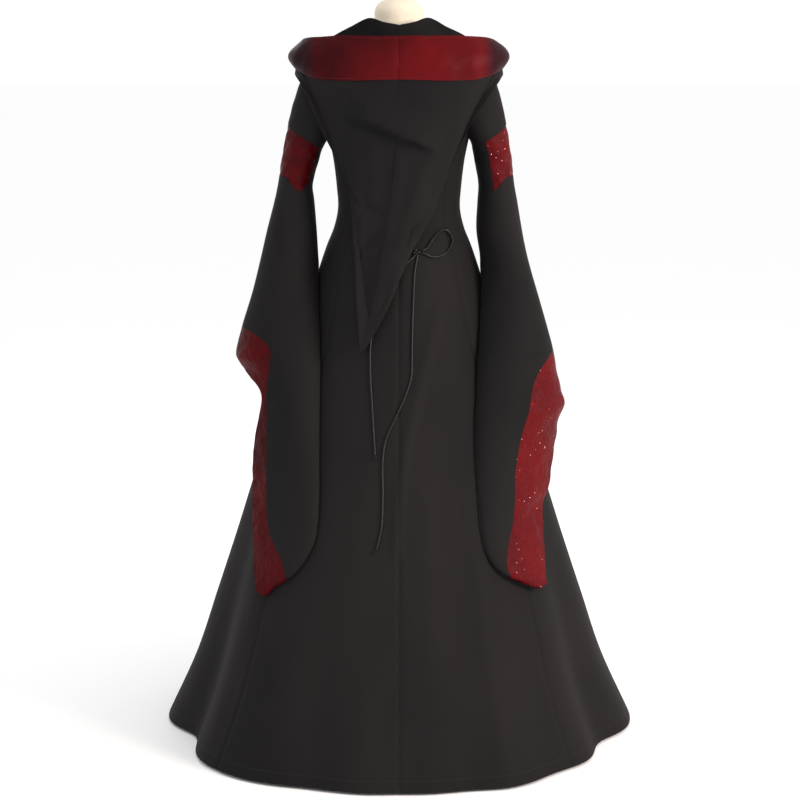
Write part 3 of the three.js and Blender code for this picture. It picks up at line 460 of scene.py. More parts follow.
def back_of(x, level):
    half = along(GOWN, "half", level)
    round_off = along(GOWN, "round", level)
    across = np.minimum(np.abs(x) / half, 1) ** (1 / round_off)
    return along(GOWN, "back", level) * np.sqrt(1 - across * across) ** round_off


def pushed_out(p, body, clear):
    """Keeps points at least a little outside a body, moved straight out from the form's axis."""
    reach = np.hypot(body[..., 0], body[..., 1]) + clear
    now = np.maximum(np.hypot(p[..., 0], p[..., 1]), 1e-6)
    grow = np.maximum(reach / now, 1)
    return p * point(grow, grow, 1)


# %% [markdown]
# ## Turning a surface into cloth
#
# Cloth has a thickness, and its cut edges are turned under. `cloth` takes a grid of points, finds which way
# the surface faces, and lays a wall on both sides. It also writes a UV map in metres across and along the
# cut piece, so that the weave has its true size and follows the cloth wherever it hangs.

# %% Cloth from a grid
WALL = 2.0
LEAST_SHARE = 0.34
CUT_SIZES = {}


def slopes(points, axis, looped):
    if looped:
        return (np.roll(points, -1, axis) - np.roll(points, 1, axis)) / 2
    return np.gradient(points, axis=axis)


def facing(points, looped=False):
    normal = np.cross(slopes(points, 1, False), slopes(points, 0, looped))
    return normal / np.maximum(np.linalg.norm(normal, axis=-1, keepdims=True), 1e-9)


def grid_quads(rows, columns, looped):
    i, j = np.meshgrid(np.arange(rows if looped else rows - 1), np.arange(columns - 1), indexing="ij")
    a = i * columns + j
    d = ((i + 1) % rows) * columns + j
    return np.stack([a, a + 1, d + 1, d], -1).reshape(-1, 4)


def mesh_object(name, points, faces, finish, uv=None, sharp=50):
    mesh = bpy.data.meshes.new(name)
    mesh.from_pydata((points * MM).tolist(), [], faces)
    if uv is not None:
        layer = mesh.uv_layers.new(name="UVMap")
        corners = np.zeros(len(mesh.loops), int)
        mesh.loops.foreach_get("vertex_index", corners)
        layer.data.foreach_set("uv", uv[corners].astype(np.float32).ravel())
    mesh.shade_smooth()
    mesh.set_sharp_from_angle(angle=sharp * DEGREE)
    mesh.materials.append(finish)
    made = bpy.data.objects.new(name, mesh)
    bpy.context.scene.collection.objects.link(made)
    return made


def outwards(points, faces):
    a, b, c, d = (points[faces[:, k]] for k in range(4))
    volume = (a * np.cross(b, c)).sum() + (a * np.cross(c, d)).sum()
    return faces if volume > 0 else faces[:, ::-1]


def cloth(name, points, finish, looped=False):
    rows, columns = points.shape[:2]
    normal = facing(points, looped)
    half_wall = normal * WALL / 2
    both = np.concatenate([(points + half_wall).reshape(-1, 3), (points - half_wall).reshape(-1, 3)])
    shift = rows * columns
    front = grid_quads(rows, columns, looped)
    faces = [front, front[:, ::-1] + shift]
    last = rows if looped else rows - 1
    i = np.arange(last)
    for side, flip in ((0, False), (columns - 1, True)):
        a, d = i * columns + side, ((i + 1) % rows) * columns + side
        rim = np.stack([a, d, d + shift, a + shift], -1)
        faces.append(rim[:, ::-1] if flip else rim)
    if not looped:
        j = np.arange(columns - 1)
        for side, flip in ((0, True), (rows - 1, False)):
            a = side * columns + j
            rim = np.stack([a, a + 1, a + 1 + shift, a + shift], -1)
            faces.append(rim[:, ::-1] if flip else rim)
    steps_across = np.linalg.norm(np.diff(points, axis=1, prepend=points[:, :1]), axis=-1)
    steps_down = np.linalg.norm(np.diff(points, axis=0, prepend=points[:1]), axis=-1)
    width, length = steps_across.sum(1), steps_down.sum(0)
    u = np.cumsum(steps_across, 1) - width[:, None] / 2
    v = np.cumsum(steps_down, 0)
    uv = np.stack([u, v], -1).reshape(-1, 2) * MM
    faces = outwards(both, np.concatenate(faces)).tolist()
    piece = mesh_object(name, both, faces, finish, np.concatenate([uv, uv]))
    quad = np.cross(points[:-1, 1:] - points[:-1, :-1], points[1:, :-1] - points[:-1, :-1])
    area = np.linalg.norm(quad, axis=-1).sum() * MM * MM
    flat_width, flat_length = width.max() * MM, length.max() * MM
    if area < LEAST_SHARE * flat_width * flat_length:
        flat_width = area / (LEAST_SHARE * flat_length)
    CUT_SIZES[name] = (flat_width, flat_length, area)
    return piece


def finished(piece, node, held=None):
    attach(piece, "root")
    if node:
        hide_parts(node)
    if held:
        width, length, area = CUT_SIZES[piece.name]
        area = min(area, width * length)
    return piece


# %% [markdown]
# ## Long ridges in the hanging cloth
#
# Between the big folds the cloth is drawn into thin ridges: they start where the cloth is pinched, at the
# waist, and run down and out. Each is a path across the back and down, with a height and a width. A point
# of the cloth is lifted by how near it lies to the path.

# %% Ridges of the gown
RIDGES = [
    (4.2, 11, 1, [(-96, 945), (-91, 926), (-67, 851), (-37, 738), (-12, 626), (-2, 551), (4, 440)]),
    (3.2, 14, 1, [(-143, 800), (-143, 769), (-142, 637), (-141, 489), (-167, 266), (-207, 5)]),
    (2.6, 18, 1, [(262, 400), (293, 280), (342, 151), (387, 5)]),
    (2.2, 20, 1, [(60, 640), (84, 420), (120, 200), (150, 5)]),
    (-2.4, 22, 1, [(-70, 640), (-92, 420), (-118, 200), (-140, 5)]),
    (1.6, 9, 1, [(96, 1060), (104, 1000), (120, 900), (130, 760)]),
    (1.6, 8, 1, [(-70, 1075), (-84, 1010), (-104, 930), (-122, 850)]),
    (-1.8, 7, 1, [(-88, 1075), (-100, 1010), (-122, 920), (-140, 840)]),
    (2.4, 18, -1, [(-40, 900), (-60, 600), (-96, 300), (-130, 5)]),
    (2.4, 18, -1, [(52, 880), (80, 560), (104, 300), (128, 5)]),
]


def near_path(p, path):
    """How far points lie from a path across (x) and up (z), and how far along it, from 0 to 1."""
    spot = p[..., [0, 2]]
    path = np.array(path, float)
    lengths = np.linalg.norm(np.diff(path, axis=0), axis=1)
    starts = np.concatenate([[0], np.cumsum(lengths)])
    nearest = np.full(spot.shape[:-1], 1e9)
    share = np.zeros(spot.shape[:-1])
    for a, b, start, length in zip(path[:-1], path[1:], starts, lengths):
        way = (b - a) / length
        t = np.clip((spot - a) @ way, 0, length)
        offset = spot - a - t[..., None] * way
        distance = np.linalg.norm(offset, axis=-1)
        closer = distance < nearest
        nearest = np.where(closer, distance, nearest)
        share = np.where(closer, (start + t) / starts[-1], share)
    return nearest, share


def with_ridges(points, ridges):
    normal = facing(points)
    outward = np.sign((normal[..., :2] * points[..., :2]).sum(-1))[..., None]
    lift = np.zeros(points.shape[:2])
    for high, wide, side, path in ridges:
        distance, share = near_path(points, path)
        fade = np.clip(share * 6, 0, 1)
        lift = lift + high * bell(distance / wide) * fade * (np.sign(points[..., 1]) == side)
    return points + normal * outward * lift[..., None]


# %% [markdown]
# ## The gores
#
# Seven gores make the gown: a front, and a side front, side back and back on each side. A sewn seam lies in
# a shallow groove, because the thread pulls it down and the allowance behind it lifts the cloth beside it.
# So each gore dips at its two long edges. The gores at the side give way to the armhole.

# %% Gores
GORES = [
    ("back_left", 45, 90, None),
    ("back_right", 90, 135, None),
    ("side_back_left", 0, 45, "from"),
    ("side_back_right", 135, 180, "to"),
    ("side_front_right", 180, 225, "from"),
    ("side_front_left", 315, 360, "to"),
    ("front", 225, 315, None),
]
SEAM = {"gap": 0.35, "dip": 1.3, "wide": 4.5, "ridge": 11, "ridge_wide": 6}


def armhole_turn(level):
    up = np.clip((level - ARMHOLE["level"]) / ARMHOLE["half_height"], -1, 1)
    return ARMHOLE["half_turn"] * np.sqrt(1 - up * up)


def drawn_in(points, left=0.0, right=0.0):
    """Draws the first and last column back along the cloth, by millimetres."""
    made = points.copy()
    for edge, inside, gap in ((0, 1, left), (-1, -2, right)):
        way = points[:, inside] - points[:, edge]
        made[:, edge] += way / np.linalg.norm(way, axis=-1, keepdims=True) * np.asarray(gap)[..., None]
    return made


def seam_dip(points):
    """Lets the cloth dip into the seams at its first and last column."""
    normal = facing(points)
    outward = np.sign((normal[..., :2] * points[..., :2]).sum(-1))
    steps = np.linalg.norm(np.diff(points, axis=1, prepend=points[:, :1]), axis=-1)
    run = np.cumsum(steps, 1)
    dip = np.zeros(points.shape[:2])
    for away in (run, run[:, -1:] - run):
        dip += bell(away / SEAM["wide"]) - 0.3 * bell((away - SEAM["ridge"]) / SEAM["ridge_wide"])
    return points - normal * (outward * dip * SEAM["dip"])[..., None]


def close_to_edges(count):
    """Columns that crowd towards both edges, where the seams are."""
    t = np.linspace(0, 1, count)
    return t - 0.13 * np.sin(2 * math.pi * t)


hole = ARMHOLE["level"] + ARMHOLE["half_height"] * np.cos(np.linspace(math.pi, 0, 33))
under, over = np.linspace(HEM_LEVEL, 1180, 118), np.linspace(1378, NECK_LEVEL, 14)
levels = np.concatenate([under, np.linspace(1187, 1216, 5), hole, over])
for name, start, end, hole_side in GORES:
    from_turn = start + (armhole_turn(levels) if hole_side == "from" else 0)
    to_turn = end - (armhole_turn(levels) if hole_side == "to" else 0)
    share = close_to_edges(69 if name == "front" else 43)
    first, last = (np.broadcast_to(edge, levels.shape)[:, None] for edge in (from_turn, to_turn))
    turns = mix(first, last, share)
    points = gown(turns * DEGREE, levels[:, None])
    points = seam_dip(with_ridges(points, RIDGES))
    in_hole = np.where(armhole_turn(levels) > 0, 1.0, SEAM["gap"] / 2)
    left = in_hole if hole_side == "from" else np.full(levels.shape, SEAM["gap"] / 2)
    right = in_hole if hole_side == "to" else np.full(levels.shape, SEAM["gap"] / 2)
    gore = cloth("gore_" + name, drawn_in(points, left, right), BLACK)
    finished(gore, name, "hung")
print("gores:", [name for name in CUT_SIZES])

# %% [markdown]
# ## The sleeves
#
# A medieval bell sleeve is close at the upper arm and opens at the wrist into a long tip. The inner fold
# of the sleeve hangs along the body, and the outer edge runs down the arm to the wrist, where the hem
# begins. The surface has two directions: a turn round the sleeve, from the inner fold to the outer edge,
# and a level. Where the sleeve meets the skirt it lies on it.

# %% Sizes of the sleeves
SLEEVE_LEFT = table("at innerX innerY outerX outerY deep shut", [
    (332, 262, 262, 276, 254, 26, 100),
    (355, 242, 272, 282, 244, 36, 100),
    (376, 214, 286, 287, 230, 46, 100),
    (405, 189, 292, 291, 210, 58, 100),
    (442, 168, 288, 295, 190, 70, 100),
    (480, 160, 276, 297, 172, 80, 102),
    (518, 158, 263, 298, 158, 88, 105),
    (557, 157, 248, 298, 144, 96, 110),
    (615, 157, 225, 303, 122, 106, 120),
    (673, 157, 201, 309, 100, 116, 132),
    (722, 157, 181, 315, 78, 124, 146),
    (760, 157, 165, 318, 58, 130, 160),
    (787, 157, 153, 322, 50, 134, 180),
    (812, 158, 141, 319, 47, 136, 180),
    (846, 159, 124, 311, 42, 136, 180),
    (910, 162, 84, 294, 30, 134, 180),
    (973, 166, 44, 281, 20, 130, 180),
    (1035, 169, 20, 268, 12, 118, 180),
    (1095, 174, 6, 253, 5, 102, 180),
    (1128, 177, 2, 246, 2, 94, 180),
    (1190, 160, 2, 236, 2, 98, 180),
])

HEM_LEFT = table("at back front hem", [
    (332, 0, 0, 1),
    (355, 0, 0, 1),
    (376, 0.08, 0.12, 1),
    (405, 0.32, 0.3, 0.98),
    (442, 0.6, 0.42, 0.97),
    (480, 0.685, 0.48, 0.96),
    (518, 0.695, 0.5, 0.96),
    (557, 0.69, 0.5, 0.96),
    (615, 0.64, 0.52, 0.88),
    (673, 0.575, 0.54, 0.72),
    (722, 0.53, 0.56, 0.61),
    (760, 0.45, 0.58, 0.84),
    (787, 0.39, 0.6, 1),
    (812, 0.39, 0.6, 1),
    (846, 0.4, 0.6, 1),
])

SLEEVE_RIGHT = table("at innerX innerY outerX outerY deep shut", [
    (343, 276, 248, 293, 240, 28, 100),
    (360, 246, 268, 291, 232, 38, 100),
    (379, 211, 286, 289, 222, 48, 100),
    (398, 188, 292, 286, 210, 58, 100),
    (428, 170, 290, 284, 194, 70, 102),
    (470, 160, 280, 287, 174, 82, 106),
    (503, 157, 270, 290, 162, 90, 112),
    (526, 154, 262, 301, 150, 96, 118),
    (581, 151, 242, 310, 126, 106, 130),
    (639, 149, 220, 320, 102, 116, 150),
    (692, 151, 198, 327, 80, 124, 180),
    (720, 153, 184, 320, 68, 128, 180),
    (757, 154, 168, 310, 58, 132, 180),
    (800, 158, 148, 302, 48, 134, 180),
    (853, 162, 116, 289, 40, 134, 180),
    (910, 167, 82, 274, 30, 132, 180),
    (973, 169, 42, 261, 20, 126, 180),
    (1035, 160, 20, 250, 12, 116, 180),
    (1095, 162, 6, 240, 5, 102, 180),
    (1128, 163, 2, 234, 2, 94, 180),
    (1190, 152, 2, 227, 2, 98, 180),
])

HEM_RIGHT = table("at back front hem", [
    (343, 0, 0, 1),
    (360, 0, 0, 1),
    (379, 0.06, 0.12, 1),
    (398, 0.16, 0.24, 1),
    (428, 0.28, 0.34, 1),
    (470, 0.39, 0.42, 1),
    (503, 0.415, 0.46, 1),
    (526, 0.395, 0.48, 1),
    (581, 0.375, 0.5, 1),
    (639, 0.39, 0.52, 1),
    (692, 0.41, 0.55, 1),
    (720, 0.435, 0.56, 1),
    (757, 0.46, 0.56, 1),
    (800, 0.5, 0.56, 1),
])

CUTS = {
    "left": {
        "wrist": 787, "band_top": 846, "band_flat": 800, "black_end": 376,
        "tip": 332, "back": 0.2, "front": 0.2,
    },
    "right": {
        "wrist": 692, "band_top": 800, "band_flat": 715, "black_end": 379,
        "tip": 343, "back": 0.43, "front": 0.16,
    },
}
CAP_LEVEL, CAP_RISE = 1190, 180
ARM_BAND = {"top": 1240, "low": 1146, "point": 30, "turn": 0.4, "wide": 0.2}
OFF_SKIRT = {"front": 7, "back": 14}


# %% The sleeve's surface
def off_the_skirt(p, clear):
    level = p[..., 2]
    turn = np.arctan2(p[..., 1] / along(GOWN, "back", level), p[..., 0] / along(GOWN, "half", level))
    return pushed_out(p, gown(turn, level), clear)


def hang(sizes, turn, level, shut):
    end = shut * DEGREE
    angle = np.abs(turn) * end
    share = (1 - np.cos(angle)) / (1 - np.cos(end))
    inner = point(along(sizes, "innerX", level), along(sizes, "innerY", level), level)
    outer = point(along(sizes, "outerX", level), along(sizes, "outerY", level), level)
    across = outer - inner
    across = across / np.linalg.norm(across, axis=-1, keepdims=True)
    back = point(-across[..., 1], across[..., 0], 0 * level)
    deep = along(sizes, "deep", level)
    crown = deep / 2 * (np.sin(angle) - share * np.sin(end))
    layer = np.where(turn < 0, crown - deep * np.sin(angle), crown)
    p = mix(inner, outer, share[..., None]) + back * layer[..., None]
    behind_fold = OFF_SKIRT["back"] * np.sin(np.minimum(angle, math.pi / 2))
    lift = OFF_SKIRT["front"] + np.where(turn < 0, 0, behind_fold)
    return np.where((level < 1040)[..., None], off_the_skirt(p, lift), p)


def armhole_point(turn):
    swing = math.pi * (1 - np.abs(turn)) * np.where(turn < 0, -1, 1)
    level = ARMHOLE["level"] + ARMHOLE["half_height"] * np.cos(swing)
    return gown(ARMHOLE["half_turn"] * DEGREE * np.sin(swing), level)


def cap(sizes, turn, level):
    way = (1 - (level - CAP_LEVEL) / CAP_RISE)[..., None]
    top = np.abs(turn) ** 2
    start = armhole_point(turn)
    end = hang(sizes, turn, np.full_like(turn, CAP_LEVEL), np.full_like(turn, 180.0))
    first = start + point(7 + 23 * top, 0, 0)
    second = end + point(-1 - 9 * top, 0, 6 + 54 * top)
    return (
        start * (1 - way) ** 3
        + 3 * first * way * (1 - way) ** 2
        + 3 * second * way**2 * (1 - way)
        + end * way**3
    )


def sleeve(sizes, turn, level):
    turn, level = np.broadcast_arrays(np.asarray(turn, float), np.asarray(level, float))
    shut = np.where(level > CAP_LEVEL, 180.0, np.clip(along(sizes, "shut", level), 0, 180))
    wrapped = (shut > 179.9) & (np.abs(turn) > 1)
    turn = np.where(wrapped, turn - 2 * np.sign(turn), turn)
    return np.where((level > CAP_LEVEL)[..., None], cap(sizes, turn, level), hang(sizes, turn, level, shut))


# %% [markdown]
# The hem band is a shaped facing of satin. On each level the black cloth stops where the band starts, and
# the band goes on to the free edge. Both are cut from the one sleeve surface, so they lie flush.


# %% Cutting the sleeve
def turn_of(share, end):
    return np.arccos(np.clip(1 - share * (1 - np.cos(end)), -1, 1)) / end


def shut_angle(sizes, level):
    return np.clip(along(sizes, "shut", level), 0, 180) * DEGREE


def black_edge(sizes, hem, cuts, level, column):
    rise = np.clip((level - cuts["band_flat"]) / (cuts["band_top"] - cuts["band_flat"]), 0, 1)
    share = mix(along(hem, column, level), 1, 1 - np.sqrt(1 - rise * rise))
    return np.where(level >= cuts["band_top"], 1.0, turn_of(share, shut_angle(sizes, level)))


def free_edge(sizes, hem, cuts, level):
    open_to = turn_of(along(hem, "hem", level), shut_angle(sizes, level))
    return np.where(level >= cuts["wrist"], 1.0, open_to)


def hem_level(cuts, level):
    bend = cuts["wrist"] - 45
    above = bend + (level - bend) * (cuts["wrist"] - bend) / (cuts["band_top"] - bend)
    low = np.where(level < bend, level, above)
    return mix(cuts["tip"], low, np.clip((level - cuts["black_end"] + 12) / 60, 0.2, 1))


def point_of_band(turn):
    away = (np.abs((turn + 3) % 2 - 1) - ARM_BAND["turn"]) / ARM_BAND["wide"]
    return ARM_BAND["low"] - ARM_BAND["point"] * bell(away)


# %% [markdown]
# Crinkled satin is never flat, and soft cloth on a hanging arm drags into slanting creases. A few waves in
# different directions, added along the way the cloth faces, give both. They use fixed directions and
# phases, so each run gives the same cloth.

# %% Crinkles
WAVES = [
    (0.9, 0.31, 0.52, 0.3), (-0.62, 0.55, 0.8, 1.9), (0.35, -0.9, 1.1, 4.1), (1.3, 0.4, -0.7, 2.7),
    (-1.1, -0.8, 0.9, 5.2), (0.5, 1.6, 0.3, 0.9), (1.9, -0.6, 1.2, 3.3), (-1.5, 1.4, -1.8, 1.2),
]


def crinkled(points, high, size, looped=False, stretch=(1, 1, 1), sewn=(0, 0, 0)):
    """Lifts the cloth by a sum of waves. size is the length of the longest wave in millimetres.

    sewn counts the columns, from the first and from the last, and the rows from the first, over which
    the waves fade out, so that two pieces meet at their seam."""
    place = points * np.array(stretch) * 2 * math.pi / size
    lift = np.zeros(points.shape[:2])
    for x, y, z, phase in WAVES:
        waviness = np.sqrt(x * x + y * y + z * z)
        bend = 0.8 * np.sin(place[..., 2] * 0.37 + phase * 2) + 0.6 * np.sin(place[..., 0] * 0.53 + phase)
        lift += np.sin(place @ np.array([x, y, z]) + phase + bend) / waviness
    rows, columns = np.arange(points.shape[0])[:, None], np.arange(points.shape[1])
    for count, steps in ((sewn[0], columns), (sewn[1], columns[::-1]), (sewn[2], rows)):
        if count:
            lift = lift * np.clip(steps / count, 0, 1)
    return points + facing(points, looped) * (lift * high / 3)[..., None]


def make_sleeve(side, sizes, hem):
    cuts = CUTS[side]
    mirror = np.array([1 if side == "left" else -1, 1, 1])

    def surface(turn, level):
        return sleeve(sizes, turn, level) * mirror

    turns = np.linspace(-1, 1, 73)
    share = np.linspace(0, 1, 26)[None, :]
    upper = surface(turns[:-1, None], mix(CAP_LEVEL + CAP_RISE, ARM_BAND["top"], share))
    upper = drawn_in(crinkled(upper, 0.7, 46, True), 1.2, 0.2)
    piece = cloth("upper_sleeve_cloth_" + side, upper, BLACK, looped=True)
    finished(piece, "upper_sleeve_" + side, "hung")

    outside = np.linspace(cuts["back"], 1, 40)
    front = np.linspace(-1, -cuts["front"], 32)
    strip = np.linspace(-cuts["front"], cuts["back"], 22)
    band_turns = np.concatenate([outside, front[1:] + 2])[:, None]
    down = np.linspace(0, 1, 30)[None, :]
    band = surface(band_turns, mix(ARM_BAND["top"], point_of_band(band_turns), down))
    band = drawn_in(crinkled(band, 1.3, 40), 0.2, 0.3)
    piece = cloth("arm_band_satin_" + side, band, CRINKLED)
    finished(piece, "arm_band_" + side, "hung")
    under = surface(strip[:, None], mix(ARM_BAND["top"], point_of_band(strip[:, None]), down))
    piece = cloth("underarm_strip_cloth_" + side, drawn_in(crinkled(under, 0.5, 46), 0.2, 0.3), BLACK)
    finished(piece, "underarm_strip_" + side, "hung")

    curve = mix(cuts["band_flat"], cuts["band_top"], np.sin(np.linspace(0, math.pi / 2, 22)))
    low = np.linspace(cuts["black_end"], cuts["band_flat"], 70)[:-1]
    band_levels = np.concatenate([low, curve[:-1]])
    across = np.concatenate([front, strip[1:], outside[1:]])
    tube = np.linspace(cuts["band_top"], 1100, 50)
    rows = []
    for level in np.concatenate([band_levels, tube]):
        edge_front = black_edge(sizes, hem, cuts, level, "front")
        edge_back = black_edge(sizes, hem, cuts, level, "back")
        rows.append(surface(across * np.where(across < 0, edge_front, edge_back), level))
    for share in np.linspace(0.15, 1, 8):
        rows.append(surface(across, mix(1100, point_of_band(across), share)))
    bell_points = crinkled(np.array(rows), 1.6, 150, stretch=(1, 1, 0.35), sewn=(7, 7, 8))
    piece = cloth("bell_cloth_" + side, drawn_in(bell_points, 0.05, 0.05), BLACK)
    finished(piece, "bell_" + side, "hung")

    def row(start, end):
        share = np.linspace(0, 1, 14)
        return surface(mix(start[0], end[0], share), mix(start[1], end[1], share))

    back_edge = black_edge(sizes, hem, cuts, band_levels, "back")
    front_edge = black_edge(sizes, hem, cuts, band_levels, "front")
    hems = hem_level(cuts, band_levels)
    free = free_edge(sizes, hem, cuts, hems)
    ring = [row((1, cuts["band_top"]), (1, cuts["wrist"]))]
    ring += [row((back_edge[k], band_levels[k]), (free[k], hems[k])) for k in range(len(band_levels))][::-1]
    for share in np.linspace(1, -1, 9)[1:-1]:
        near_tip = 1 - abs(share)
        black = share * (back_edge[0] if share > 0 else front_edge[0])
        red = (share * free[0], mix(hems[0], cuts["tip"], near_tip))
        ring.append(row((black, cuts["black_end"] - 5 * near_tip), red))
    ring += [row((-front_edge[k], band_levels[k]), (-free[k], hems[k])) for k in range(len(band_levels))]
    ring = drawn_in(crinkled(np.array(ring), 1.5, 60, True, sewn=(5, 0, 0)), 0.05, 0.0)
    piece = cloth("hem_band_satin_" + side, ring, CRINKLED, looped=True)
    finished(piece, "hem_band_" + side, "hung")


make_sleeve("left", SLEEVE_LEFT, HEM_LEFT)
make_sleeve("right", SLEEVE_RIGHT, HEM_RIGHT)
print("pieces so far:", list(CUT_SIZES))

# %% [markdown]
# ## The hood
#
# The hood is a pocket of two halves, joined on a seam that runs down its middle to the point of the tail.
# Thrown back, it lies in two layers: the outer one hangs from the satin band at the shoulders down to a
# bottom fold, and the inner one climbs the back to the neckline. The tail has swung to the wearer's left,
# so the two halves are not alike.

# %% Sizes of the hood
HOOD_BAND = table("at seamX seamY seamZ faceX faceY faceZ", [
    (0, 0, 132, 1338, 0, 112, 1423),
    (0.14, 50, 131, 1337, 48, 111, 1423),
    (0.28, 101, 124, 1336, 95, 104, 1424),
    (0.42, 149, 108, 1338, 139, 89, 1423),
    (0.55, 182, 82, 1346, 174, 64, 1420),
    (0.66, 203, 48, 1357, 191, 34, 1417),
    (0.76, 209, 6, 1364, 188, -2, 1413),
    (0.86, 184, -50, 1350, 160, -46, 1398),
    (0.94, 106, -112, 1306, 88, -102, 1360),
    (1, 4, -142, 1250, 3.5, -134, 1312),
])

HOOD_INSIDE = table("at crestX crestY crestZ neckX neckY neckZ", [
    (0, 0, 78, 1445, 0, 62, 1437),
    (0.14, 30, 74, 1451, 30, 56, 1440),
    (0.28, 60, 60, 1459, 55, 42, 1443),
    (0.42, 96, 42, 1442, 74, 22, 1445),
    (0.55, 124, 24, 1428, 80, 4, 1444),
    (0.66, 134, 2, 1421, 78, -14, 1440),
    (0.76, 130, -24, 1413, 72, -32, 1434),
    (0.86, 108, -56, 1396, 64, -56, 1418),
    (0.94, 64, -92, 1370, 50, -84, 1388),
    (1, 3, -124, 1334, 3, -116, 1350),
])

FOLD_LEFT = table("at x y z", [
    (0, 75, 214, 810),
    (0.1, 80, 198, 866),
    (0.2, 85, 172, 936),
    (0.3, 91, 122, 1030),
    (0.38, 88, 104, 1100),
    (0.44, 102, 94, 1140),
    (0.5, 126, 86, 1186),
    (0.57, 157, 86, 1244),
    (0.64, 190, 74, 1322),
    (0.7, 205, 38, 1342),
    (0.78, 208, -5, 1350),
    (0.86, 183, -49, 1330),
    (0.94, 105, -109, 1286),
    (1, 4, -139, 1228),
])

FOLD_RIGHT = table("at x y z", [
    (0, -75, 214, 810),
    (0.1, -55, 208, 836),
    (0.2, -20, 192, 900),
    (0.28, 8, 164, 964),
    (0.34, 34, 136, 1018),
    (0.41, 72, 108, 1080),
    (0.47, 92, 98, 1138),
    (0.53, 114, 88, 1192),
    (0.59, 146, 88, 1256),
    (0.65, 191, 72, 1324),
    (0.7, 205, 38, 1342),
    (0.78, 208, -5, 1350),
    (0.86, 183, -49, 1330),
    (0.94, 105, -109, 1286),
    (1, 4, -139, 1228),
])

HOOD = {
    "puff_back": 8, "puff_side": 20, "neck": 1.84, "shoulder": 0.6,
    "swing": 1.8, "sag": 12, "rise": 9, "tuck": 2.6,
}
CLEAR = {"inner": 11.5, "fold": 12, "outer": 19, "sleeve": 72, "chest": 6}


# %% The hood's surfaces
def hood_band(station, share):
    seam = point(*(along(HOOD_BAND, "seam" + axis, station) for axis in "XYZ"))
    face = point(*(along(HOOD_BAND, "face" + axis, station) for axis in "XYZ"))
    p = mix(seam, face, np.asarray(share)[..., None])
    away = p * np.array([1, 1, 0])
    away = away / np.linalg.norm(away, axis=-1, keepdims=True)
    puff = mix(HOOD["puff_back"], HOOD["puff_side"], np.abs(away[..., 0]) ** 2)
    return p + away * (puff * np.sin(math.pi * share))[..., None]


def behind(p, clear):
    beside = np.clip((np.abs(p[..., 0]) - 95) / 30, 0, 1) * np.clip((1395 - p[..., 2]) / 50, 0, 1)
    off_the_back = np.maximum(p[..., 1], back_of(p[..., 0], p[..., 2]) + clear)
    return np.maximum(off_the_back, CLEAR["sleeve"] * beside)


def off_the_chest(p, clear):
    x, y, level = p[..., 0], p[..., 1], p[..., 2]
    deep = np.where(y < 0, along(GOWN, "front", level), along(GOWN, "back", level))
    body = section(GOWN, np.arctan2(y / deep, x / along(GOWN, "half", level)), level)
    return np.where((level > 1400)[..., None], p, pushed_out(p, body, clear))


def hood_cloth(folds, station, share):
    station, share = np.broadcast_arrays(np.asarray(station, float), np.asarray(share, float))
    front = np.clip((station - HOOD["shoulder"]) / 0.2, 0, 1)
    way = np.maximum(np.where(share < 1, share * mix(1, 0.76, front), share), 0)
    crest = point(*(along(HOOD_INSIDE, "crest" + axis, station) for axis in "XYZ"))
    neck = point(*(along(HOOD_INSIDE, "neck" + axis, station) for axis in "XYZ"))
    fold = point(*(along(folds, axis, station) for axis in "xyz"))
    seam = hood_band(station, 0 * station)
    flat = seam * np.array([1, 1, 0])
    seam = seam - flat / np.linalg.norm(flat, axis=-1, keepdims=True) * HOOD["tuck"]
    on_back = 1 - np.clip((station - HOOD["shoulder"]) / 0.08, 0, 1)

    def keep(p, clear):
        p = p.copy()
        p[..., 1] = mix(p[..., 1], behind(p, clear), on_back)
        pushed = off_the_chest(p, CLEAR["chest"] * (1 - on_back))
        return np.where((on_back < 1)[..., None], pushed, p)

    fold = keep(fold, CLEAR["fold"])
    swing = mix(HOOD["swing"], 1, np.clip(station / 0.4, 0, 1))
    low = np.minimum(way, 1)
    outer = mix(seam, fold, low[..., None])
    outer[..., 0] = mix(seam[..., 0], fold[..., 0], low**swing)
    hung = mix(seam[..., 1] - HOOD["sag"] * low, fold[..., 1], low**6)
    outer[..., 1] = mix(outer[..., 1], hung, on_back)
    outer = keep(outer, mix(CLEAR["outer"], CLEAR["fold"], low**6))
    up = np.clip((way - 1) / (HOOD["neck"] - 1), 0, 1)
    inner = mix(fold, crest, up[..., None])
    inner[..., 0] = mix(crest[..., 0], fold[..., 0], (1 - up) ** swing)
    near_spine = np.clip((110 - np.abs(inner[..., 0])) / 30, 0, 1)
    hug = on_back * np.clip(up * 6, 0, 1) * np.clip((1 - up) * 4, 0, 1) * near_spine
    close = np.minimum(inner[..., 1], back_of(inner[..., 0], inner[..., 2]) + CLEAR["inner"])
    inner[..., 1] = mix(inner[..., 1], close, hug)
    inner[..., 2] += HOOD["rise"] * (1 - on_back) * np.sin(math.pi * up)
    inner = keep(inner, CLEAR["inner"])
    over = mix(crest, neck, np.clip((way - HOOD["neck"]) / (2 - HOOD["neck"]), 0, 1)[..., None])
    first = np.where((way <= 1)[..., None], outer, inner)
    return np.where((way <= HOOD["neck"])[..., None], first, over)


# %% [markdown]
# The back of the hood has one strong drape: its upper cloth sags over the lower cloth and rolls along a
# slanting line from the left shoulder to the right edge. A roll is not a ridge, because it stands out on
# its upper side and drops away at once on its lower side. Softer creases lie under the band.

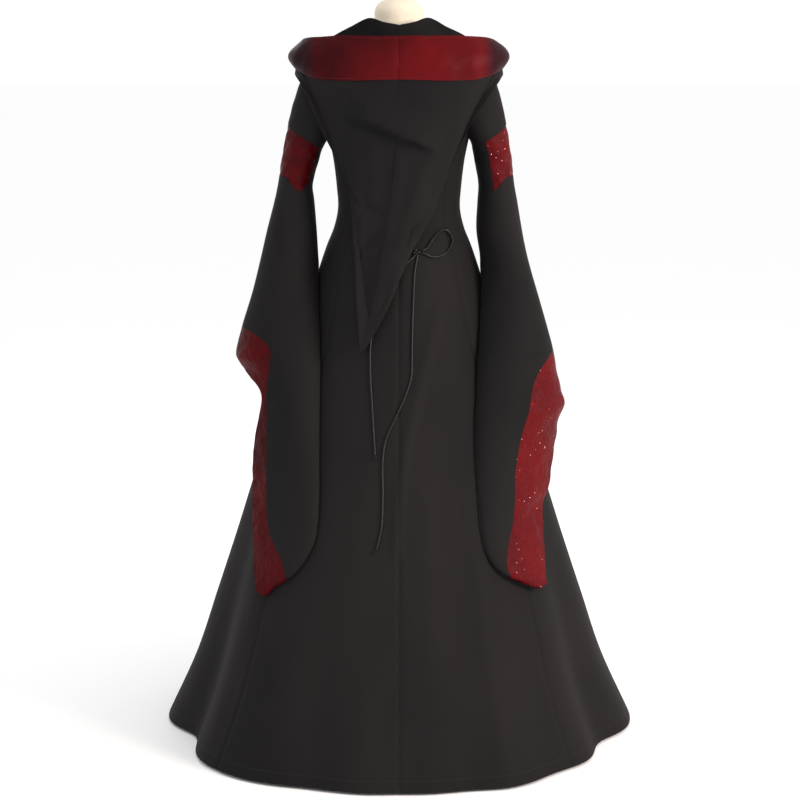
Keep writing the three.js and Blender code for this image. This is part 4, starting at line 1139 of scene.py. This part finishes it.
# %% Drapes of the hood
ROLLS = [
    (19.0, 40, [
        (122, 1262), (100, 1266), (78, 1264), (53, 1257),
        (24, 1245), (0, 1231), (-36, 1216), (-78, 1198),
    ]),
    (5.0, 12, [(150, 1330), (120, 1322), (80, 1318), (40, 1321), (6, 1328)]),
    (2.6, 9, [(98, 1118), (88, 1106), (76, 1100)]),
]
HOOD_RIDGES = [
    (3.4, 14, 1, [(-8, 1215), (4, 1150), (14, 1080), (28, 1000), (48, 900)]),
    (-3.2, 8, 1, [(84, 1075), (86, 1040), (84, 1000), (80, 960)]),
    (2.6, 8, 1, [(74, 1078), (76, 1040), (76, 990), (76, 940)]),
    (-3.5, 11, 1, [(74, 1092), (58, 1082), (40, 1072)]),
    (2.6, 12, 1, [(-60, 1196), (-40, 1130), (-14, 1060), (16, 980)]),
    (1.8, 12, 1, [(60, 1240), (52, 1180), (50, 1110)]),
]


def with_rolls(points, rolls):
    normal = facing(points)
    outward = np.sign(normal[..., 1])[..., None]
    lift = np.zeros(points.shape[:2])
    for high, wide, path in rolls:
        distance, share = near_path(points, path)
        ends = np.clip(share * 4, 0, 1) * np.clip((1 - share) * 5, 0, 1)
        above = points[..., 2] > np.interp(points[..., 0], *np.array(sorted(path)).T)
        body = np.where(above, bell(distance / wide), bell(distance / (wide * 0.15)))
        lift += high * body * ends
    return points + normal * outward * lift[..., None]


# The lip is the hood's seam allowance, turned up behind the band
BAND_GAP = {"seam": 0.8, "edge": 0.2, "centre": 0.25, "front": 0.25}
HOOD_GAP = {"centre": 0.02, "front": 0.25}
BAND_DIP = 1.6
LIP = 0.07


def seam_lip(stations):
    lip = hood_band(stations[:, None], LIP) - hood_band(stations[:, None], 0.0)
    return lip * np.clip(stations * 9 - 0.3, 0.1, 1)[:, None, None]


def make_hood(side, folds):
    mirror = np.array([1 if side == "left" else -1, 1, 1])
    stations = np.linspace(0, 1, 91)[:, None]
    share = np.linspace(0, 1, 34)[None, :]
    band = hood_band(stations, share) * mirror
    band = crinkled(band, 1.5, 70, stretch=(1, 1, 0.7))
    from_centre = np.arange(len(stations))[:, None]
    band[:, :, 1] -= BAND_DIP * bell(from_centre / BAND_DIP)
    band = drawn_in(band, BAND_GAP["seam"], BAND_GAP["edge"])
    band = drawn_in(band.swapaxes(0, 1), BAND_GAP["centre"], BAND_GAP["front"]).swapaxes(0, 1)
    piece = cloth("hood_band_satin_" + side, band, RED)
    finished(piece, "hood_band_" + side, "folded")

    down, over = np.linspace(0, 0.94, 96), np.linspace(0.955, 1.045, 7)
    up, rolled = np.linspace(1.07, HOOD["neck"], 34), np.linspace(1.86, 2, 7)
    ways = np.concatenate([down, over, up, rolled])
    fine_stations = np.concatenate([np.linspace(0, 0.84, 150), np.linspace(0.85, 1, 22)])
    bag = hood_cloth(folds, fine_stations[:, None], ways[None, :]) * mirror
    bag = np.concatenate([bag[:, :1] + seam_lip(fine_stations) * mirror, bag], axis=1)
    ways = np.append(0, ways)
    draped = with_ridges(with_rolls(bag, ROLLS), HOOD_RIDGES)
    fade = np.clip((0.97 - ways) * 12, 0, 1) * np.clip(ways * 12, 0, 1)
    bag = bag + (draped - bag) * fade[None, :, None]
    bag = crinkled(bag, 0.9, 110)
    bag = drawn_in(bag.swapaxes(0, 1), HOOD_GAP["centre"], HOOD_GAP["front"]).swapaxes(0, 1)
    piece = cloth("hood_cloth_" + side, bag, BLACK)
    finished(piece, "hood_" + side, "folded")


make_hood("left", FOLD_LEFT)
make_hood("right", FOLD_RIGHT)
print("hood pieces:", [name for name in CUT_SIZES if "hood" in name])

# %% [markdown]
# ## The dress form
#
# The form is smooth and whole under the cloth. Only the domed top of its neck shows. It is one closed skin
# made of many rings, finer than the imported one, under a stretched jersey cover.

# %% Sizes of the form
FORM = table("at half back front round", [
    (780, 138, 106, 92, 0.95),
    (850, 154, 120, 102, 0.95),
    (920, 153, 121, 104, 0.95),
    (980, 138, 110, 102, 0.95),
    (1030, 122, 94, 98, 0.94),
    (1080, 114, 86, 93, 0.93),
    (1125, 117, 87, 98, 0.92),
    (1177, 126, 96, 115, 0.9),
])

NECK = table("at half back front round", [
    (1449, 56, 50, 52, 1),
    (1458, 50, 47, 48, 1),
    (1474, 49, 46, 47, 1),
    (1485, 45, 42, 43, 1),
    (1493, 36, 34, 35, 1),
    (1498, 22, 21, 21, 1),
    (1500, 8, 8, 8, 1),
])

FORM_CLEAR, FORM_DROP = 2.5, 1.2


# %% Form
def join_tables(*parts):
    return {column: np.concatenate([part[column] for part in parts]) for column in parts[0]}


FORM_FOOT = 780
FORM_TOP = 1500
FORM_CROWN = 14


def make_form():
    chest_levels = np.array([1221, 1245, 1270, 1297, 1324, 1350, 1373, 1390, 1408, 1425, 1440.0])
    chest = {column: along(GOWN, column, chest_levels) for column in ("half", "back", "front", "round")}
    for column in ("half", "back", "front"):
        chest[column] = chest[column] - FORM_CLEAR
    chest["at"] = np.where(chest_levels > 1365, chest_levels - FORM_DROP, chest_levels)
    whole = join_tables(FORM, chest, NECK)
    top = FORM_TOP - FORM_CROWN * (1 - np.sin(np.linspace(0, math.pi / 2, 14)))
    levels = np.concatenate([np.linspace(FORM_FOOT, top[0] - 2, 120), top[:-1]])
    turns = np.linspace(0, 2 * math.pi, 97)[:-1]
    rings = section(whole, turns[None, :], levels[:, None])
    count = len(turns)
    quads = grid_quads(len(levels), count + 1, False)
    quads = (quads // (count + 1)) * count + (quads % (count + 1)) % count
    points = rings.reshape(-1, 3)
    bottom, crown = len(points), len(points) + 1
    points = np.concatenate([points, [[0, 0, FORM_FOOT], [0, 0, FORM_TOP]]])
    last = (len(levels) - 1) * count
    faces = quads.tolist()
    faces += [[bottom, (j + 1) % count, j] for j in range(count)]
    faces += [[crown, last + j, last + (j + 1) % count] for j in range(count)]
    made = mesh_object("form_cover", points, faces, COVER, sharp=60)
    return finished(made, "dress_form")


make_form()

# %% [markdown]
# ## The lacing
#
# A satin cord is knotted at the back waist. One loop and two tails hang from the knot, limp, so they follow
# the cloth under them. A cord is swept along its path: we walk the path and lay a round section square to
# it at each step, without letting the section spin.

# %% Sizes of the lacing
LOOP = table("x z out", [
    (-42.8, 1004.3, 6),
    (-50, 1007, 6),
    (-62, 1024, 5),
    (-78, 1040, 4.2),
    (-93, 1039, 3.6),
    (-102, 1024, 3.4),
    (-98, 1006, 3.4),
    (-84, 994, 3.6),
    (-64, 991, 4.4),
    (-50, 996.5, 5.6),
    (-42.8, 999.7, 6),
])

TAIL_LONG = table("x z out", [
    (-34.6, 994.6, 3.4),
    (-30, 960, 2.6),
    (-28, 910, 2.6),
    (-26, 853, 2.6),
    (-25, 796, 2.6),
    (-24, 764, 2.6),
    (-12, 726, 2.6),
    (8, 683, 2.6),
    (25, 645, 2.6),
    (31, 608, 2.6),
    (31, 533, 2.6),
    (34, 478, 2.6),
    (43, 441, 2.6),
])

TAIL_SHORT = table("x z out", [
    (-29.7, 994.4, 3.4),
    (-8, 972, 2.6),
    (14, 936, 2.6),
    (36, 890, 2.6),
    (50, 850, 2.6),
    (55, 824, 2.6),
    (55, 757, 2.6),
    (52, 710, 2.6),
    (49, 663, 2.6),
    (46, 617, 2.6),
])

CORD = 3.6
KNOT = {
    "x": -34, "z": 1002, "deep": 10, "off": 0.8,
    "size": (13.0, 6.2, 9.2), "turned": 0.3, "cord": 1.85,
}
END_KNOT = {"below": 4.8, "out": 1.6, "size": (4.6, 3.6, 6.6), "turned": 0.2, "cord": 1.05}


# %% Cords
def through(stops, count=120):
    """A smooth path through points, with points at even steps along it."""
    stops = np.array(stops, float)
    gaps = np.sqrt(np.linalg.norm(np.diff(stops, axis=0), axis=1))
    keys = np.concatenate([[0], np.cumsum(gaps)])
    fine = np.linspace(0, keys[-1], count * 6)
    tangents = np.gradient(stops, keys, axis=0)
    low = np.clip(np.searchsorted(keys, fine, side="right") - 1, 0, len(keys) - 2)
    step = (keys[low + 1] - keys[low])[:, None]
    t = ((fine - keys[low]) / (keys[low + 1] - keys[low]))[:, None]
    path = curve(t, stops[low], tangents[low] * step, stops[low + 1], tangents[low + 1] * step)
    run = np.concatenate([[0], np.cumsum(np.linalg.norm(np.diff(path, axis=0), axis=1))])
    even = np.linspace(0, run[-1], count)
    return np.stack([np.interp(even, run, path[:, k]) for k in range(3)], -1)


def swept(name, path, radius, finish, sides=12, closed=False):
    ways = slopes(path[:, None, :], 0, closed)[:, 0]
    ways = ways / np.linalg.norm(ways, axis=1, keepdims=True)
    side = np.cross(ways[0], [0.3, 0.2, 0.9])
    rings, uv = [], []
    run = 0
    for k, (centre, way) in enumerate(zip(path, ways)):
        side = side - way * (side @ way)
        side = side / np.linalg.norm(side)
        other = np.cross(way, side)
        angle = np.linspace(0, 2 * math.pi, sides + 1)[:-1]
        rings.append(centre + radius * (np.cos(angle)[:, None] * side + np.sin(angle)[:, None] * other))
        run += np.linalg.norm(centre - path[max(k - 1, 0)]) * MM
        uv += [(run, 2 * radius * MM * a) for a in angle]
    points = np.concatenate(rings)
    count = len(path)
    last = count if closed else count - 1
    i, j = np.meshgrid(np.arange(last), np.arange(sides), indexing="ij")
    a, b = i * sides + j, i * sides + (j + 1) % sides
    c, d = ((i + 1) % count) * sides + (j + 1) % sides, ((i + 1) % count) * sides + j
    faces = np.stack([a, b, c, d], -1).reshape(-1, 4).tolist()
    if not closed:
        faces += [list(range(sides))[::-1], [(count - 1) * sides + k for k in range(sides)]]
    return mesh_object(name, points, faces, finish, np.array(uv))


def cord_stops(stops):
    x, z, out = stops["x"], stops["z"], stops["out"]
    skin = gown(np.arccos(x / along(GOWN, "half", z)), z)
    away = skin * np.array([1, 1, 0])
    away = away / np.linalg.norm(away, axis=1, keepdims=True)
    return skin + away * (out + CORD / 2 - WALL / 2)[:, None]


def knot_path(centre, size, turned=0.0):
    """A trefoil: the simplest knot that holds, pulled tight to a given size."""
    t = np.linspace(0, 2 * math.pi, 91)[:-1]
    x, z, y = np.sin(t) + 2 * np.sin(2 * t), np.cos(t) - 2 * np.cos(2 * t), -np.sin(3 * t)
    x, z = x * math.cos(turned) - z * math.sin(turned), x * math.sin(turned) + z * math.cos(turned)
    return np.stack([x / 5.9, y / 2, z / 5.9], -1) * np.array(size) + np.array(centre)


TABLES = {"bow_loop": LOOP, "lace_tail_long": TAIL_LONG, "lace_tail_short": TAIL_SHORT}
seat = float(back_of(KNOT["x"], KNOT["z"])) + WALL / 2 + KNOT["deep"] / 2 + KNOT["off"]
turns_of_knot = knot_path((KNOT["x"], seat, KNOT["z"]), KNOT["size"], KNOT["turned"])
knot = swept("waist_knot", turns_of_knot, KNOT["cord"], CORD_FINISH, closed=True)
finished(knot, "bow_knot")
for name, stops in TABLES.items():
    path = through(cord_stops(stops), 100 if name == "bow_loop" else 200)
    tail = swept("satin_" + name, path, CORD / 2, CORD_FINISH)
    finished(tail, name)
    if name != "bow_loop":
        way = path[-1] - path[-4]
        centre = path[-1] + way / np.linalg.norm(way) * END_KNOT["below"] + np.array([0, END_KNOT["out"], 0])
        end_name = name.replace("tail", "end")
        turns_of_end = knot_path(centre, END_KNOT["size"], END_KNOT["turned"])
        end = swept("satin_" + end_name, turns_of_end, END_KNOT["cord"], CORD_FINISH, sides=8, closed=True)
        finished(end, end_name)
    length = np.linalg.norm(np.diff(path, axis=0), axis=1).sum() * MM
    print(name, "is", round(length, 3), "m long")
    far_end = "object" if name == "bow_loop" else "knot"

# %% [markdown]
# ## Stitches, made by Geometry Nodes
#
# A stitch is a tiny piece that repeats hundreds of times along an edge, which is what Geometry Nodes are
# for. The tree turns an edge path into a curve, sets a point every few millimetres, and puts a small
# elongated bead of thread on each, turned along the path. It ends by making the copies real, because
# copies that are only instances are lost on export.


# %% The stitch tree
def input_socket(tree, name, kind, value):
    socket = tree.interface.new_socket(name=name, in_out="INPUT", socket_type=kind)
    if value is not None:
        socket.default_value = value
    return socket.identifier


def stitch_tree():
    tree = bpy.data.node_groups.new("stitch_row", "GeometryNodeTree")
    tree.interface.new_socket(name="Geometry", in_out="OUTPUT", socket_type="NodeSocketGeometry")
    input_socket(tree, "Path", "NodeSocketGeometry", None)
    names = {
        "pitch": input_socket(tree, "Stitch Pitch", "NodeSocketFloat", 0.0042),
        "length": input_socket(tree, "Stitch Length", "NodeSocketFloat", 0.0028),
        "thread": input_socket(tree, "Thread Width", "NodeSocketFloat", 0.0007),
        "finish": input_socket(tree, "Thread", "NodeSocketMaterial", None),
    }
    nodes, links = tree.nodes, tree.links
    given = nodes.new("NodeGroupInput")
    curve = nodes.new("GeometryNodeMeshToCurve")
    spots = nodes.new("GeometryNodeCurveToPoints")
    spots.mode = "LENGTH"
    bead = nodes.new("GeometryNodeMeshIcoSphere")
    bead.inputs["Radius"].default_value = 0.5
    bead.inputs["Subdivisions"].default_value = 1
    size = nodes.new("ShaderNodeCombineXYZ")
    turn = nodes.new("FunctionNodeAlignRotationToVector")
    turn.axis = "Z"
    copies = nodes.new("GeometryNodeInstanceOnPoints")
    real = nodes.new("GeometryNodeRealizeInstances")
    coloured = nodes.new("GeometryNodeSetMaterial")
    result = nodes.new("NodeGroupOutput")
    links.new(given.outputs["Path"], curve.inputs[0])
    links.new(curve.outputs[0], spots.inputs["Curve"])
    links.new(given.outputs["Stitch Pitch"], spots.inputs["Length"])
    links.new(spots.outputs["Points"], copies.inputs["Points"])
    links.new(spots.outputs["Tangent"], turn.inputs["Vector"])
    links.new(bead.outputs["Mesh"], copies.inputs["Instance"])
    links.new(turn.outputs["Rotation"], copies.inputs["Rotation"])
    links.new(given.outputs["Thread Width"], size.inputs["X"])
    links.new(given.outputs["Thread Width"], size.inputs["Y"])
    links.new(given.outputs["Stitch Length"], size.inputs["Z"])
    links.new(size.outputs[0], copies.inputs["Scale"])
    links.new(copies.outputs["Instances"], real.inputs[0])
    links.new(real.outputs[0], coloured.inputs["Geometry"])
    links.new(given.outputs["Thread"], coloured.inputs["Material"])
    links.new(coloured.outputs["Geometry"], result.inputs["Geometry"])
    return tree, names


STITCHES, STITCH_INPUTS = stitch_tree()


def plain_mesh(carrier, name):
    """The result of an object's modifiers as a plain mesh object."""
    evaluated = carrier.evaluated_get(bpy.context.evaluated_depsgraph_get())
    mesh = bpy.data.meshes.new_from_object(evaluated)
    mesh.name = name
    bpy.data.objects.remove(carrier)
    made = bpy.data.objects.new(name, mesh)
    bpy.context.scene.collection.objects.link(made)
    return made


def stitched(name, paths, finish, pitch=4.2):
    """Rows of stitches along paths, each an array of points in millimetres."""
    points, edges = [], []
    for path in paths:
        first = len(points)
        points += (np.asarray(path) * MM).tolist()
        edges += [(k, k + 1) for k in range(first, len(points) - 1)]
    mesh = bpy.data.meshes.new(name)
    mesh.from_pydata(points, edges, [])
    carrier = bpy.data.objects.new(name, mesh)
    bpy.context.scene.collection.objects.link(carrier)
    rows = carrier.modifiers.new("stitches", "NODES")
    rows.node_group = STITCHES
    rows[STITCH_INPUTS["pitch"]] = pitch * MM
    rows[STITCH_INPUTS["length"]] = pitch * 0.66 * MM
    rows[STITCH_INPUTS["finish"]] = finish
    made = plain_mesh(carrier, name)
    made.data.shade_smooth()
    print(name, "has", len(made.data.polygons), "faces")
    return made


# %% [markdown]
# The rows lie where a machine would sew them: round the hem of the skirt, and along both edges of the
# hood's band. A row sits on the outer face of the cloth.


# %% Rows of stitches
STITCH_LIFT = 1.15


def on_face(points):
    normal = facing(points)
    outward = np.sign((normal[..., :2] * points[..., :2]).sum(-1))[..., None]
    return points + normal * outward * STITCH_LIFT


def hem_rows():
    level = np.array([[HEM_LEVEL + 16.0], [HEM_LEVEL + 20.0], [HEM_LEVEL + 24.0]])
    rows = []
    for name, start, end, _ in GORES:
        turn = np.linspace(start + 0.4, end - 0.4, 90)[None, :] * DEGREE
        rows.append(on_face(with_ridges(gown(turn, level), RIDGES))[1])
    return rows


def band_rows(side):
    mirror = np.array([1 if side == "left" else -1, 1, 1])
    stations = np.linspace(0.01, 0.99, 160)[:, None]
    rows = []
    for share in (0.055, 0.945):
        strip = hood_band(stations, np.array([[share - 0.03, share, share + 0.03]])) * mirror
        rows.append(on_face(crinkled(strip, 0, 70))[:, 1])
    return rows


hem = stitched("hem_stitches", hem_rows(), BLACK_THREAD, 4.6)
finished(hem, None)
for side in ("left", "right"):
    band = stitched("hood_band_stitches_" + side, band_rows(side), RED_THREAD)
    finished(band, None)

# %% [markdown]
# ## Sequins on the satin
#
# A few small sequins are sewn on the satin of the right sleeve: on its arm band and down its hem band. A
# second tree scatters them: points on the faces by a density and a seed, and on each point a small dished
# disc that lies on the cloth.

# %% The sequin tree
def sequin_tree():
    tree = bpy.data.node_groups.new("sequins", "GeometryNodeTree")
    tree.interface.new_socket(name="Geometry", in_out="OUTPUT", socket_type="NodeSocketGeometry")
    input_socket(tree, "Cloth", "NodeSocketGeometry", None)
    names = {
        "density": input_socket(tree, "Sequins per Square Metre", "NodeSocketFloat", 1500.0),
        "seed": input_socket(tree, "Seed", "NodeSocketInt", 3),
        "radius": input_socket(tree, "Radius", "NodeSocketFloat", 0.0011),
        "finish": input_socket(tree, "Film", "NodeSocketMaterial", None),
    }
    nodes, links = tree.nodes, tree.links
    given = nodes.new("NodeGroupInput")
    spots = nodes.new("GeometryNodeDistributePointsOnFaces")
    disc = nodes.new("GeometryNodeMeshCone")
    disc.inputs["Vertices"].default_value = 8
    disc.inputs["Radius Top"].default_value = 0.45
    disc.inputs["Radius Bottom"].default_value = 1.0
    disc.inputs["Depth"].default_value = 0.3
    copies = nodes.new("GeometryNodeInstanceOnPoints")
    real = nodes.new("GeometryNodeRealizeInstances")
    coloured = nodes.new("GeometryNodeSetMaterial")
    result = nodes.new("NodeGroupOutput")
    links.new(given.outputs["Cloth"], spots.inputs["Mesh"])
    links.new(given.outputs["Sequins per Square Metre"], spots.inputs["Density"])
    links.new(given.outputs["Seed"], spots.inputs["Seed"])
    links.new(spots.outputs["Points"], copies.inputs["Points"])
    links.new(spots.outputs["Rotation"], copies.inputs["Rotation"])
    links.new(disc.outputs["Mesh"], copies.inputs["Instance"])
    links.new(given.outputs["Radius"], copies.inputs["Scale"])
    links.new(copies.outputs["Instances"], real.inputs[0])
    links.new(real.outputs[0], coloured.inputs["Geometry"])
    links.new(given.outputs["Film"], coloured.inputs["Material"])
    links.new(coloured.outputs["Geometry"], result.inputs["Geometry"])
    return tree, names


SEQUINS, SEQUIN_INPUTS = sequin_tree()


def sequinned(name, cloth_name, keep, density, seed):
    """Sequins on the faces of a cloth piece whose centre and way of facing pass a test."""
    source = bpy.data.objects[cloth_name].data
    count = len(source.polygons)
    centres, ways = np.zeros(count * 3), np.zeros(count * 3)
    source.polygons.foreach_get("center", centres)
    source.polygons.foreach_get("normal", ways)
    chosen = keep(centres.reshape(-1, 3) / MM, ways.reshape(-1, 3))
    corners = np.array([list(source.polygons[k].vertices) for k in np.nonzero(chosen)[0]])
    used, faces = np.unique(corners, return_inverse=True)
    places = np.array([source.vertices[k].co for k in used])
    mesh = bpy.data.meshes.new(name)
    mesh.from_pydata(places.tolist(), [], faces.reshape(corners.shape).tolist())
    carrier = bpy.data.objects.new(name, mesh)
    bpy.context.scene.collection.objects.link(carrier)
    scatter = carrier.modifiers.new("sequins", "NODES")
    scatter.node_group = SEQUINS
    scatter[SEQUIN_INPUTS["density"]] = float(density)
    scatter[SEQUIN_INPUTS["seed"]] = seed
    scatter[SEQUIN_INPUTS["finish"]] = SEQUIN
    made = plain_mesh(carrier, name)
    print(name, "has", len(made.data.polygons) // 10, "sequins")
    return made


def facing_back(centres, ways):
    outward = (ways[:, :2] * (centres[:, :2] - centres[:, :2].mean(0))).sum(1) > 0
    return (ways[:, 1] > 0.25) & outward


arm = sequinned("arm_band_sequins", "arm_band_satin_right", facing_back, 2600, 5)
hem_sequins = sequinned("hem_band_sequins", "hem_band_satin_right", facing_back, 1100, 8)
for piece in (arm, hem_sequins):
    finished(piece, None)

# %% [markdown]
# ## The floor
#
# A plain pale floor takes the shadow of the skirt and says how the gown stands.

# %% Floor
floor_mesh = bpy.data.meshes.new("floor")
FAR = 300
corners = [(-FAR, -FAR, 0), (FAR, -FAR, 0), (FAR, FAR, 0), (-FAR, FAR, 0)]
floor_mesh.from_pydata(corners, [], [(0, 1, 2, 3)])
floor = bpy.data.objects.new("floor", floor_mesh)
pale = Finish("pale_floor", Base_Color=(0.96, 0.96, 0.96, 1), Roughness=0.9, Specular_IOR_Level=0.1)
floor_mesh.materials.append(pale.material)
bpy.context.scene.collection.objects.link(floor)

# %% Sizes of the cut pieces
for name, (width, length, area) in CUT_SIZES.items():
    print("cut", name, round(width, 3), round(length, 3), round(area, 4))
